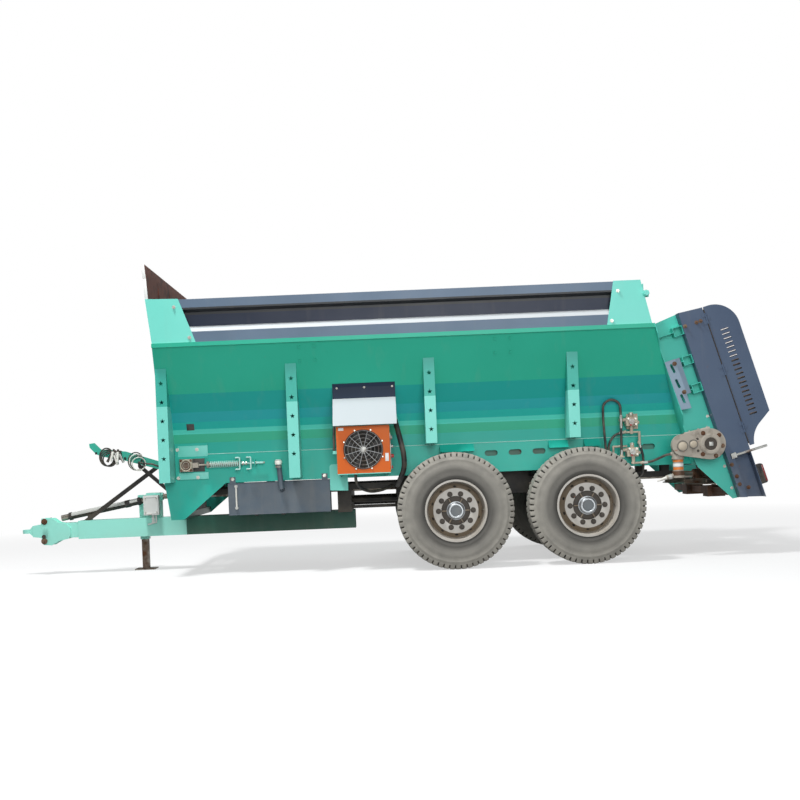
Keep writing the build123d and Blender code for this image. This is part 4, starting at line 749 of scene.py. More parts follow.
@dataclass
class Wheel:
    """One ten-stud truck wheel with its tyre, built about Z and turned to the axle.

    A point of an outline is its radius and its distance out from the middle.
    """

    corner: Corner
    blocks: int = 60
    block_width: float = 0.042
    block_bevel: float = 0.0015
    studs: int = 10
    stud_radius: float = 0.1675
    stud_size: float = 0.024
    stud_face: float = 0.0865
    stud_end: tuple[float, float, float] = (0.015, 0.028, 0.0095)
    spokes: int = 6
    spoke_low: Point = (0.070, -0.005, 0.074)
    spoke_high: Point = (0.134, 0.005, 0.092)
    hole_place: Point = (0.2335, 0, 0.0585)
    hole_tilt_deg: float = 59.0
    valve_foot: Point = (0.255, 0.0, 0.03)
    valve_head: Point = (0.268, 0.0, 0.10)
    valve_radius: float = 0.005
    carcass_outside: Outline = (
        (0.291, 0.126), (0.300, 0.133), (0.322, 0.141), (0.334, 0.1465), (0.346, 0.1468), (0.352, 0.1445),
        (0.392, 0.1475), (0.396, 0.1492), (0.446, 0.1497), (0.451, 0.1478), (0.486, 0.1450), (0.490, 0.1462),
        (0.498, 0.1450), (0.502, 0.1428), (0.520, 0.1375), (0.542, 0.1265), (0.549, 0.117), (0.549, 0.066),
        (0.5645, 0.064), (0.5645, 0.026), (0.550, 0.024), (0.550, 0.012), (0.5645, 0.010))
    carcass_inside: Outline = ((0.291, 0.100), (0.40, 0.120), (0.53, 0.095))
    groove: Outline = ((0.524, 0.1371), (0.5425, 0.1282), (0.5505, 0.1182), (0.5505, 0.068), (0.546, 0.068),
                       (0.546, 0.115), (0.539, 0.1255), (0.522, 0.134))
    shoulder_block: Outline = ((0.530, 0.062), (0.5648, 0.062), (0.5648, 0.116), (0.558, 0.124),
                               (0.541, 0.1315), (0.522, 0.1385), (0.516, 0.1385))
    barrel: Outline = ((0.3015, 0.1425), (0.3015, 0.136), (0.2895, 0.134), (0.2895, -0.134), (0.3015, -0.136),
                       (0.3015, -0.1425), (0.279, -0.1425), (0.275, -0.12), (0.262, -0.06), (0.262, 0.02),
                       (0.274, 0.06), (0.277, 0.12), (0.283, 0.1425))
    cone: Outline = ((0.2625, 0.024), (0.248, 0.034), (0.2185, 0.0835), (0.2185, 0.070), (0.238, 0.022),
                     (0.2625, 0.008))
    disc: Outline = ((0.2185, 0.0838), (0.212, 0.0865), (0.142, 0.0865), (0.140, 0.084), (0.140, 0.066),
                     (0.2185, 0.066))
    hub_face: Outline = ((0.0, 0.078), (0.10, 0.078), (0.139, 0.072), (0.139, 0.050), (0.0, 0.050))
    drum: Outline = ((0.06, -0.058), (0.203, -0.058), (0.203, 0.046), (0.19, 0.064), (0.06, 0.064))
    cap: Outline = ((0.0, 0.122), (0.050, 0.122), (0.056, 0.1295), (0.066, 0.1295), (0.074, 0.124),
                    (0.079, 0.110), (0.083, 0.106), (0.083, 0.096), (0.089, 0.094), (0.089, 0.078),
                    (0.0, 0.078))
    cap_plate: Outline = ((0.0, 0.1245), (0.050, 0.1245), (0.053, 0.121), (0.0, 0.121))
    hole: Outline = ((0.0, 0.0006), (0.012, 0.0006), (0.0145, 0.0012), (0.016, 0.0), (0.0, 0.0))

    @property
    def body(self) -> str:
        """Body that turns with the wheel."""
        return f"wheel_{self.corner.value}"

    @property
    def tyre_node(self) -> str:
        """Name of the wheel's tyre in the CAD."""
        return f"tyre_{self.corner.value}"

    def placement(self) -> Matrix:
        """Placement on the axle, with Z pointing out of the machine."""
        return towards(middle(self.tyre_node), (0, self.corner.side, 0))

    def build(self) -> None:
        """Build the tyre and the wheel inside it."""
        self.tyre()
        self.rim()

    def tyre(self) -> None:
        """Build the tyre: carcass with ribs, and blocks along both shoulders."""
        rubber = TyreRubber(f"tyre_rubber_{self.corner.value}", tuple(middle(self.tyre_node)))
        piece = Workpiece(f"treaded_tyre_{self.corner.value}", self.body)
        place = self.placement()
        outside, inside = self.carcass_outside, self.carcass_inside
        section = [*outside, *mirrored(outside), *reversed(mirrored(inside)), *reversed(inside)]
        piece.add(turned(section, 128, closed=True), rubber, place)
        # Dark rubber in both grooves: painted shade in the creases
        for sign in (1, -1):
            groove = [(radius, sign * out) for radius, out in self.groove]
            piece.add(turned(groove, 128, closed=True), GROOVE_SHADE, place)
        block = drawn(self.shoulder_block, self.block_width, self.block_bevel)
        bmesh.ops.translate(block, vec=(0, 0, -self.block_width / 2), verts=block.verts)
        bmesh.ops.rotate(block, verts=block.verts, cent=(0, 0, 0), matrix=Matrix.Rotation(pi / 2, 3, "X"))
        for step in range(self.blocks):
            turn = Matrix.Rotation(tau * step / self.blocks, 4, "Z")
            half_turn = Matrix.Rotation(tau * (step + 0.5) / self.blocks, 4, "Z")
            piece.add(block, rubber, place @ turn, keep=True)
            piece.add(block, rubber, place @ half_turn @ Matrix.Rotation(pi, 4, "X"), keep=True)
        block.free()
        piece.finish((self.tyre_node,), 28)

    def rim(self) -> None:
        """Build the rim, disc, studs, hub and cap in place of the plain wheel."""
        piece = Workpiece(f"ten_stud_wheel_{self.corner.value}", self.body)
        place = self.placement()
        for section, steps, closed, finish in (
                (self.barrel, 96, True, RIM_SILVER), (self.cone, 96, True, RIM_BROWN),
                (self.disc, 96, True, RIM_GREY), (self.hub_face, 72, False, HUB_DARK),
                (self.drum, 72, True, HUB_DARK)):
            piece.add(turned(section, steps, closed), finish, place)
        for step in range(self.spokes):
            turn = Matrix.Rotation(tau * step / self.spokes, 4, "Z")
            piece.add(boxed(self.spoke_low, self.spoke_high), RIM_BROWN, place @ turn)
        piece.add(turned(self.cap, 64), CAP_ALLOY, place)
        piece.add(turned(self.cap_plate, 48), CAP_PLATE, place)
        self.fasten(piece, place)
        piece.add(bar(self.valve_foot, self.valve_head, self.valve_radius, 10), BOLT_STEEL, place)
        piece.finish((self.body,))

    def fasten(self, piece: Workpiece, place: Matrix) -> None:
        """Set the studs with their nuts, and between each two a black disc that stands for a hand hole as
        painted shade.

        Args:
            piece: Piece under way.
            place: Placement of the wheel.
        """
        nut = hex_bolt(self.stud_size)
        foot, head, radius = self.stud_end
        stud = bar((0, 0, foot), (0, 0, head), radius, 12)
        hole = turned(self.hole, 20)
        tilt = Matrix.Rotation(radians(self.hole_tilt_deg), 4, "Y")
        for step in range(self.studs):
            turn = Matrix.Rotation(tau * step / self.studs, 4, "Z")
            seat = place @ turn @ Matrix.Translation((self.stud_radius, 0, self.stud_face))
            piece.add(nut, HUB_DARK, seat, keep=True)
            piece.add(stud, HUB_DARK, seat, keep=True)
            between = place @ Matrix.Rotation(tau * (step + 0.5) / self.studs, 4, "Z")
            piece.add(hole, BLACK_PLASTIC, between @ Matrix.Translation(self.hole_place) @ tilt, keep=True)
        for shape in (nut, stud, hole):
            shape.free()


# ------------------------------------------------------------------ sections
def sided(point: Point, sign: int) -> Point:
    """Point on the side that a sign gives."""
    return (point[0], sign * point[1], point[2])


@dataclass
class Section:
    """Part of the machine, placed by its reach from the middle of the tandem."""

    tandem: float

    def at(self, reach: float, y: float, z: float) -> Point:
        """Point at a reach."""
        return (self.tandem + reach, y, z)

    def rod(self, piece: Workpiece, finish: Finish, start: Point, end: Point, radius: float, sides: int = 16,
            end_radius: float | None = None) -> None:
        """Add a round rod between two points that are given by reach."""
        piece.add(bar(self.at(*start), self.at(*end), radius, sides, end_radius), finish)

    def pad(self, piece: Workpiece, finish: Finish, low: Point, high: Point, bevel: float = 0.002) -> None:
        """Add a box between two corners that are given by reach."""
        piece.add(boxed(self.at(*low), self.at(*high), bevel), finish)

    def bolts(self, piece: Workpiece, finish: Finish, size: float, out: Point, *spots: Point,
              thread: float = 0.0) -> None:
        """Set bolts at spots that are given by reach."""
        piece.bolt(finish, size, out, *[self.at(*spot) for spot in spots], thread=thread)

    def build(self) -> None:
        """Build the fittings and dress the nodes."""
        raise NotImplementedError


@dataclass
class Hopper(Section):
    """Folded side walls, posts, rim and sill, with their bolts and weld beads."""

    bolt: float = 0.016
    weld_height: float = 1.215
    weld_radius: float = 0.0035
    weld_ends: Pair = (-3.51, 1.66)
    wall_foot: Pair = (1.030, 1.813)
    wall_head: Pair = (1.189, 2.26)
    wall_out: Pair = (0.942, -0.335)
    wall_bolts: Pair = (-2.016, -0.108)
    bolt_square: Outline = ((-0.075, 2.216), (0.075, 2.220), (-0.075, 2.082), (0.075, 2.086))
    guide_y: float = 0.865
    guide_bolts: Outline = ((-3.37, 1.268), (-3.175, 1.264), (-3.37, 0.985), (-3.175, 0.985))
    plate: Outline = ((-0.038, -0.033), (0.038, -0.033), (0.038, 0.033), (-0.038, 0.033))
    plate_place: Point = (-3.226, -0.886, 1.489)
    plate_out: Point = (0, -1, -0.335)

    def build(self) -> None:
        """Dress the sheets, and bolt and weld them."""
        dress(GREEN_FACET_LIGHT, "hopper_side_left", "hopper_side_right")
        dress(GREEN_SHADE, "hopper_front_wall", "sill_plates")
        dress(GREEN_WORN, "hopper_floor")
        dress(GREEN_POST, "side_posts")
        dress(WORKED_STEEL, "conveyor_loop", "conveyor_shafts")
        piece = Workpiece("hopper_fittings")
        front, rear = self.weld_ends
        for side in Side:
            self.fasten(piece, side.value)
            y, z = side.value * SILL_Y, self.weld_height
            self.rod(piece, WELD_HIGHLIGHT, (front, y, z), (rear, y, z), self.weld_radius, 8)
        piece.add(drawn(self.plate, 0.003, 0.001), BLANK_PLATE,
                  towards(self.at(*self.plate_place), self.plate_out))
        piece.finish()

    def fasten(self, piece: Workpiece, sign: int) -> None:
        """Set bolt heads on one wall and around its take-up guide.

        Args:
            piece: Piece under way.
            sign: Sign of the side.
        """
        (foot_y, foot_z), (head_y, head_z) = self.wall_foot, self.wall_head
        for reach in self.wall_bolts:
            for x, z in self.bolt_square:
                y = head_y - (head_z - z) * (head_y - foot_y) / (head_z - foot_z)
                self.bolts(piece, GREEN_FACET_LIGHT, self.bolt, (0, sign * self.wall_out[0], self.wall_out[1]),
                           (reach + x, sign * y, z))
        self.bolts(piece, BOLT_STEEL, self.bolt, (0, sign, 0),
                   *[(x, sign * self.guide_y, z) for x, z in self.guide_bolts])


@dataclass
class Extension(Section):
    """Boards along the rim, their corner plates and the stone screen in front."""

    bolt: float = 0.016
    thread: float = 0.008
    plate_y: float = 1.201
    corner_bolts: Outline = ((-3.285, 2.647), (-3.145, 2.346), (1.021, 2.628), (0.952, 2.339))
    edge_width: float = 0.030
    edge_half: float = 0.003
    edges: tuple[Point, ...] = ((0.0, 0.60, 0.0), (0.61, 1.0, -0.012))
    pivot: Pair = (1.290, 2.590)
    pivot_nut: float = 0.026
    pin_half: float = 0.034
    pin_radius: float = 0.003

    def build(self) -> None:
        """Dress the boards, bolt the corner plates and edge the screen."""
        dress(BOARDS, "extension_boards")
        dress(GREEN_SUNLIT, "corner_plates")
        dress(SCREEN_SHEET, "stone_screen")
        dress(GREEN_SUNLIT, "rear_board")
        piece = Workpiece("extension_fittings")
        for side in Side:
            sign = side.value
            self.bolts(piece, BOLT_STEEL, self.bolt, (0, sign, 0),
                       *[(x, sign * self.plate_y, z) for x, z in self.corner_bolts], thread=self.thread)
            for foot, head, lean in self.edges:
                self.edge(piece, sign, (foot, head), lean)
        piece.finish()
        self.pivots()

    def edge(self, piece: Workpiece, sign: int, span: Pair, lean: float) -> None:
        """Lay a white strip, a painted highlight, on the screen's folded edge between two shares of its
        height.

        Args:
            piece: Piece under way.
            sign: Sign of the side.
            span: Shares of the height at its foot and head.
            lean: How much farther forward the head stands.
        """
        low, high = low_high("stone_screen")
        tall = high.z - low.z
        drift = high.x - low.x - self.edge_width
        ends = []
        for share in span:
            ends.append((high.x - self.edge_width / 2 - drift * share + lean * (share - span[0]),
                         sign * high.y, low.z + tall * share))
        run = Vector(ends[1]) - Vector(ends[0])
        half = self.edge_width / 2
        strip = boxed((-half, -self.edge_half, 0), (half, self.edge_half, run.length), 0.001)
        piece.add(strip, WHITE_ENAMEL_AND_HIGHLIGHT, towards(ends[0], run))

    def pivots(self) -> None:
        """End nuts of the rear board's pivot, each with a rusty split pin."""
        piece = Workpiece("rear_board_knobs", "rear_board")
        high = low_high("rear_board")[1]
        reach, z = self.pivot
        for side in Side:
            sign = side.value
            y = sign * (high.y - 0.002)
            self.bolts(piece, GREEN_SUNLIT, self.pivot_nut, (0, sign, 0), (reach, y, z))
            y -= sign * 0.015
            self.rod(piece, RUSTY_BOLT, (reach, y, z - self.pin_half), (reach, y, z + self.pin_half),
                     self.pin_radius, 8)
        piece.finish()


@dataclass
class RearUnit(Section):
    """Leaning spreading unit: side frames, chain cases, wings, latches and lamps.

    Its fittings are laid out along the lean, from the top of its front face: out
    from the body, across, and up the face.
    """

    reach: float = 1.359
    top: float = 2.292
    lean_deg: float = 16.4
    case_y: float = 1.110
    case_bolts: Outline = ((0.305, -0.117), (0.422, -0.117), (0.464, -0.117), (0.312, -1.668),
                           (0.313, -1.750), (0.386, -1.805), (0.302, -1.544))
    bracket_y: float = 1.116
    bracket_bolts: Outline = ((0.088, -0.430), (0.088, -0.722))
    frame_y: float = 1.000
    frame_bolts: Outline = ((0.262, -1.025), (0.262, -1.547), (0.262, -1.773))
    seam_foot: Point = (0.526, 1.118, -1.40)
    seam_head: Point = (0.526, 1.118, -0.01)
    seam_radius: float = 0.0035
    pads: tuple[tuple[Finish, Point, Point, float], ...] = (
        (HUB_DARK, (0.505, 1.097, -1.40), (0.537, 1.101, -0.02), 0.001),
        (LENS_RED, (0.574, 1.031, -1.808), (0.5955, 1.0965, -1.638), 0.006),
        (BLACK_PLASTIC, (0.528, 1.094, -1.790), (0.556, 1.0975, -1.655), 0.001))
    louvres: int = 20
    open_louvres: int = 7
    louvre_top: float = -0.267
    louvre_pitch: float = 0.0457
    lip_span: Pair = (0.618, 0.706)
    lip_y: Pair = (1.088, 1.1035)
    lip_drop: float = 0.014
    lip_rise: Pair = (0.001, 0.014)
    edge_span: Pair = (0.628, 0.696)
    edge_y: float = 1.1105
    edge_rise: float = 0.008
    edge_radius: float = 0.0022
    beater_nut: float = 0.026

    def leaning(self) -> Matrix:
        """Placement from the lean's own axes: X out from the body, Z up the face."""
        turn = Matrix.Rotation(-radians(self.lean_deg), 4, "Y")
        return Matrix.Translation(self.at(self.reach, 0, self.top)) @ turn

    def build(self) -> None:
        """Dress the unit, and build its bolts, seams, lenses, lips and nuts."""
        dress(GREEN_FRAME, "rear_bulkhead", "rear_side_frames")
        dress(SLATE, "chain_cases", "wing_left", "wing_right")
        dress(SLATE_LIGHT, "slotted_brackets")
        dress(BLACK_PLASTIC, "tail_lamps")
        dress(GREY_BAR, "latch_bars")
        dress(GREEN_SHADE, "beater_upper", "beater_lower")
        dress(WORKED_STEEL, "spreading_disc_left", "spreading_disc_right")
        dress(OILY_RUST, "spinner_beam", "rear_gearbox")
        piece = Workpiece("rear_unit_fittings")
        for side in Side:
            self.fit(piece, side.value)
        piece.finish()
        self.lips()
        self.end_nuts()

    def fit(self, piece: Workpiece, sign: int) -> None:
        """Set the bolts, the dark seam, the lens and its blank plate on one side.

        Args:
            piece: Piece under way.
            sign: Sign of the side.
        """
        place = self.leaning()
        out = place.to_3x3() @ Vector((0, sign, 0))
        for finish, size, thread, y, spots in (
                (RUSTY_BOLT, 0.018, 0.022, self.case_y, self.case_bolts),
                (RUSTY_BOLT, 0.020, 0.020, self.bracket_y, self.bracket_bolts),
                (BOLT_STEEL, 0.014, 0.0, self.frame_y, self.frame_bolts)):
            laid = [tuple(place @ Vector((away, sign * y, up))) for away, up in spots]
            piece.bolt(finish, size, out, *laid, thread=thread)
        seam = bar(sided(self.seam_foot, sign), sided(self.seam_head, sign), self.seam_radius, 8)
        piece.add(seam, HUB_DARK, place)
        for finish, low, high, bevel in self.pads:
            piece.add(boxed(sided(low, sign), sided(high, sign), bevel), finish, place)

    def lips(self) -> None:
        """Dark lips behind the louvres of both wings, as painted shade in the slots, lower at the top ones,
        and the rusty edge of each.
        """
        place = self.leaning()
        heights = [self.louvre_top - number * self.louvre_pitch for number in range(self.louvres)]
        (near, far), (inner, outer) = self.lip_span, self.lip_y
        start, end = self.edge_span
        for side in Side:
            sign = side.value
            name = f"wing_{side.name.lower()}"
            piece = Workpiece(f"{name}_louvre_lips", name)
            for number, up in enumerate(heights):
                rise = self.lip_rise[number >= self.open_louvres]
                lip = boxed((near, sign * inner, up - self.lip_drop), (far, sign * outer, up + rise), 0.003)
                piece.add(lip, BLACK_FINS_AND_SHADE, place)
            y = sign * self.edge_y
            for up in heights:
                z = up + self.edge_rise
                piece.add(bar((start, y, z), (end, y, z), self.edge_radius, 8), RUSTY_BOLT, place)
            piece.finish()

    def end_nuts(self) -> None:
        """End nuts on the shafts of both beaters."""
        for name in ("beater_upper", "beater_lower"):
            low, high = low_high(name)
            centre = (low + high) / 2
            piece = Workpiece(f"{name}_end_nuts", name)
            for side in Side:
                spot = (centre.x, side.value * (high.y - 0.002), centre.z)
                piece.bolt(RUSTY_BOLT, self.beater_nut, (0, side.value, 0), spot)
            piece.finish()


@dataclass
class FloorDrive(Section):
    """Gearbox and motor that pull the floor chain, on the left of the unit."""

    face_y: float = -1.168
    shaft: Pair = (1.868, 1.108)
    cover_lift: float = 0.014
    cover_ring: Outline = ((0.062, 0.0), (0.098, 0.0), (0.098, 0.004), (0.094, 0.008), (0.068, 0.008),
                           (0.062, 0.004))
    cover_disc: Outline = ((0.0, 0.0012), (0.060, 0.0012), (0.061, 0.0), (0.0, 0.0))
    square_half: float = 0.020
    square_length: float = 0.016
    small: Pair = (1.600, 1.108)
    dome_rim: Pair = (0.010, 0.006)
    cover_bolts: Outline = ((1.955, 1.190), (1.985, 1.085), (1.917, 0.990), (1.790, 1.010), (1.800, 1.215))
    plugs: Outline = ((1.742, 1.160), (1.745, 1.045))
    rib_y: float = -1.140
    rib_front: Pair = (1.625, 1.212)
    rib_run: Pair = (0.247, 0.050)
    rib_radius: float = 0.016
    rib_studs: tuple[float, ...] = (0.2, 0.55, 0.9)
    motor_y: float = -1.075
    motor_reach: float = 1.570
    motor_bands: tuple[tuple[float, float, float, Finish], ...] = (
        (0.972, 0.016, 0.060, CASTING), (0.944, 0.022, 0.0495, AMBER_BAND),
        (0.900, 0.030, 0.0495, WHITE_ENAMEL_AND_HIGHLIGHT), (0.868, 0.026, 0.0500, AMBER_BAND),
        (0.812, 0.044, 0.0575, OILY_RUST))
    spigot: Outline = ((1.500, 0.806), (1.470, 0.800), (1.360, 0.763))
    motor_screws: Pair = (1.530, 1.610)

    def build(self) -> None:
        """Dress the housings and build the covers, the rib, bolts and bands."""
        dress(CASTING, "drive_gearbox", "drive_motor")
        piece = Workpiece("floor_drive_fittings")
        self.covers(piece)
        out = (0, -1, 0)
        self.bolts(piece, RUSTY_BOLT, 0.020, out, *[(x, self.face_y, z) for x, z in self.cover_bolts],
                   thread=0.010)
        self.bolts(piece, HUB_DARK, 0.012, out, *[(x, self.face_y, z) for x, z in self.plugs])
        self.rib(piece)
        self.motor(piece)
        piece.finish()

    def covers(self, piece: Workpiece) -> None:
        """Shaft cover with its square end, and two domed caps.

        Args:
            piece: Piece under way.
        """
        out = (0, -1, 0)
        x, z = self.shaft
        face = towards(self.at(x, self.face_y - self.cover_lift, z), out)
        piece.add(turned(self.cover_ring, 56, closed=True), CASTING, face)
        piece.add(turned(self.cover_disc, 40), HUB_DARK, face)
        half = self.square_half
        piece.add(boxed((-half, -half, 0), (half, half, self.square_length), 0.003), GREY_BAR, face)
        x, z = self.small
        wide, thick = self.dome_rim
        for reach, height, radius, lift in (
                (x - 0.006, z - 0.010, 0.044, 0.010), (1.700, z + 0.004, 0.036, 0.008)):
            seat = towards(self.at(reach, self.face_y - lift, height), out)
            dome = [(0.0, 0.010), (radius * 0.7, 0.009), (radius, 0.002), (radius, 0.0), (0.0, 0.0)]
            piece.add(turned(dome, 36), VALVE_GREY, seat)
            rim = [(radius, 0.0), (radius + wide, 0.0), (radius + wide, thick), (radius, thick)]
            piece.add(turned(rim, 36, closed=True), CASTING_DARK, seat)

    def rib(self, piece: Workpiece) -> None:
        """Round rib along the top of the gearbox, with three studs.

        Args:
            piece: Piece under way.
        """
        (x, z), (run, rise), y = self.rib_front, self.rib_run, self.rib_y
        self.rod(piece, CASTING, (x, y, z), (x + run, y, z + rise), self.rib_radius, 12)
        for share in self.rib_studs:
            foot_x, foot_z = x + run * share, z + rise * share
            self.rod(piece, BOLT_STEEL, (foot_x, y, foot_z + 0.010), (foot_x, y, foot_z + 0.026), 0.007, 8)

    def motor(self, piece: Workpiece) -> None:
        """Bands, flange and spigot of the motor that hangs from the gearbox.

        Args:
            piece: Piece under way.
        """
        x, y = self.motor_reach, self.motor_y
        for z, height, radius, finish in self.motor_bands:
            self.rod(piece, finish, (x, y, z), (x, y, z + height), radius, 36)
        collar, neck, tip = [(reach, y, z) for reach, z in self.spigot]
        self.rod(piece, WHITE_PLASTIC, neck, tip, 0.020, 18, 0.006)
        self.rod(piece, GREY_BAR, collar, neck, 0.027, 18, 0.024)
        for reach in self.motor_screws:
            self.bolts(piece, RUSTY_BOLT, 0.014, (0, 0, -1), (reach, y + 0.035, 0.972))


@dataclass
class Cooler(Section):
    """Oil cooler on the left wall: hood, fan guard, blank labels and unions."""

    face_y: float = -1.180
    centre: Pair = (-1.506, 1.1935)
    guard_radius: float = 0.183
    guard_lift: float = 0.004
    inner_rings: Outline = ((0.150, 0.009), (0.112, 0.013), (0.075, 0.015), (0.042, 0.016))
    boss: Outline = ((0.0, 0.018), (0.018, 0.018), (0.032, 0.013), (0.034, 0.004), (0.0, 0.004))
    spokes: int = 12
    wire: float = 0.0028
    clips: int = 8
    hood_screws: tuple[float, ...] = (-1.746, -1.476, -1.201)
    hood_out: Point = (0, -0.96, 0.28)
    labels: tuple[Outline, ...] = (
        ((-1.743, 1.383), (-1.692, 1.411)), ((-1.296, 1.072), (-1.262, 1.150)))
    union_y: float = -1.110
    unions: tuple[tuple[float, float, float, Finish], ...] = (
        (-1.222, 1.300, 0.020, GREY_BAR), (-1.212, 1.120, 0.018, KNOB_RED), (-1.218, 1.215, 0.016, GREY_BAR),
        (-1.225, 1.010, 0.015, KNOB_RED))

    def build(self) -> None:
        """Dress the cooler and build what is screwed to it."""
        dress(ORANGE, "cooler_housing")
        dress(HOOD_SHADE_AND_REFLECTION, "cooler_hood")
        dress(BLACK_FINS_AND_SHADE, "cooler_core")
        dress(BLACK_PLASTIC, "cooler_fan")
        dress(GREEN_SUNLIT, "cooler_bracket")
        piece = Workpiece("cooler_fittings")
        self.guard(piece)
        hood_y = low_high("cooler_hood")[1].y - 0.012
        for reach in self.hood_screws:
            self.bolts(piece, BOLT_STEEL, 0.010, self.hood_out, (reach, hood_y, 1.8055))
        face = self.face_y
        for (x0, z0), (x1, z1) in self.labels:
            self.pad(piece, BLANK_LABEL, (x0, face - 0.0012, z0), (x1, face, z1), 0.0004)
        y = self.union_y
        for reach, z, radius, finish in self.unions:
            self.rod(piece, finish, (-1.247, y, z), (reach, y, z), radius)
        self.pad(piece, GREY_BAR, (-1.246, -1.150, 0.985), (-1.238, -1.060, 1.345))
        piece.finish()

    def guard(self, piece: Workpiece) -> None:
        """Wire guard over the fan, with its shroud, its clips and the boss in its middle.

        Args:
            piece: Piece under way.
        """
        x, z = self.centre
        rim = self.guard_radius
        face = towards(self.at(x, self.face_y, z), (0, -1, 0))
        for radius, lift in ((rim, self.guard_lift), *self.inner_rings):
            ring = wound(radius, self.wire * 0.7, steps=48)
            piece.add(ring, GREY_BAR, face @ Matrix.Translation((0, 0, lift)))
        for step in range(self.spokes):
            turn = face @ Matrix.Rotation(tau * (step + 0.5) / self.spokes, 4, "Z")
            piece.add(bar((0.030, 0, 0.017), (0.112, 0, 0.014), self.wire, 8), WIRE, turn)
            piece.add(bar((0.112, 0, 0.014), (rim, 0, 0.005), self.wire, 8), WIRE, turn)
        piece.add(turned(self.boss, 36), GREY_BAR, face)
        shroud = [(rim + 0.003, 0.0), (rim + 0.010, 0.0), (rim + 0.010, 0.006), (rim + 0.003, 0.008)]
        piece.add(turned(shroud, 64, closed=True), BLACK_PLASTIC, face)
        for step in range(self.clips):
            turn = face @ Matrix.Rotation(tau * (step + 0.5) / self.clips, 4, "Z")
            piece.add(boxed((rim + 0.002, -0.008, 0.0), (rim + 0.026, 0.008, 0.008)), BLACK_PLASTIC, turn)
            piece.add(hex_bolt(0.007), BOLT_STEEL, turn @ Matrix.Translation((rim + 0.018, 0, 0.008)))


@dataclass
class OilTank(Section):
    """Oil tank under the left sill, with its filler and level gauge."""

    face_y: float = -0.852
    filler_y: float = -0.900
    cap_place: Pair = (-2.362, 0.050)
    neck_place: Pair = (-2.3615, 0.078)
    cap: Outline = ((0.0, 0.052), (0.026, 0.052), (0.033, 0.047), (0.0365, 0.040), (0.0365, 0.006),
                    (0.030, 0.0), (0.0, 0.0))
    neck: Outline = ((0.027, 0.0), (0.034, 0.0), (0.034, 0.020), (0.027, 0.020))
    gauge_reach: float = -2.800
    gauge_ends: Pair = (0.672, 0.870)
    gauge_unions: Pair = (0.664, 0.878)
    hangers: Outline = ((-2.833, 0.952), (-1.911, 0.952))
    plug_y: float = -0.73
    plugs: Pair = (-2.619, -2.347)
    seam_ends: Pair = (-2.880, -1.864)

    def build(self) -> None:
        """Dress the tank and build its filler cap, gauge, plugs and seams."""
        dress(SLATE_TANK, "oil_tank")
        piece = Workpiece("tank_fittings")
        low, high = low_high("oil_tank")
        up, face = (0, 0, 1), self.face_y
        for section, steps, closed, finish, (reach, drop) in (
                (self.cap, 36, False, WHITE_PLASTIC, self.cap_place),
                (self.neck, 30, True, GREY_BAR, self.neck_place)):
            seat = towards(self.at(reach, self.filler_y, high.z - drop), up)
            piece.add(turned(section, steps, closed), finish, seat)
        x, (foot, head) = self.gauge_reach, self.gauge_ends
        self.rod(piece, WHITE_PLASTIC, (x, face - 0.010, foot), (x, face - 0.010, head), 0.0085, 14)
        for z in self.gauge_unions:
            self.rod(piece, GREY_BAR, (x, face, z), (x, face - 0.018, z), 0.016)
        self.bolts(piece, BOLT_STEEL, 0.016, (0, -1, 0), *[(reach, face, z) for reach, z in self.hangers])
        for reach in self.plugs:
            self.bolts(piece, BLACK_PLASTIC, 0.022, (0, 0, -1), (reach, self.plug_y, low.z))
        front, rear = self.seam_ends
        for z in (low.z + 0.004, 0.908):
            self.rod(piece, SLATE_TANK, (front, face, z), (rear, face, z), 0.003, 8)
        piece.finish()


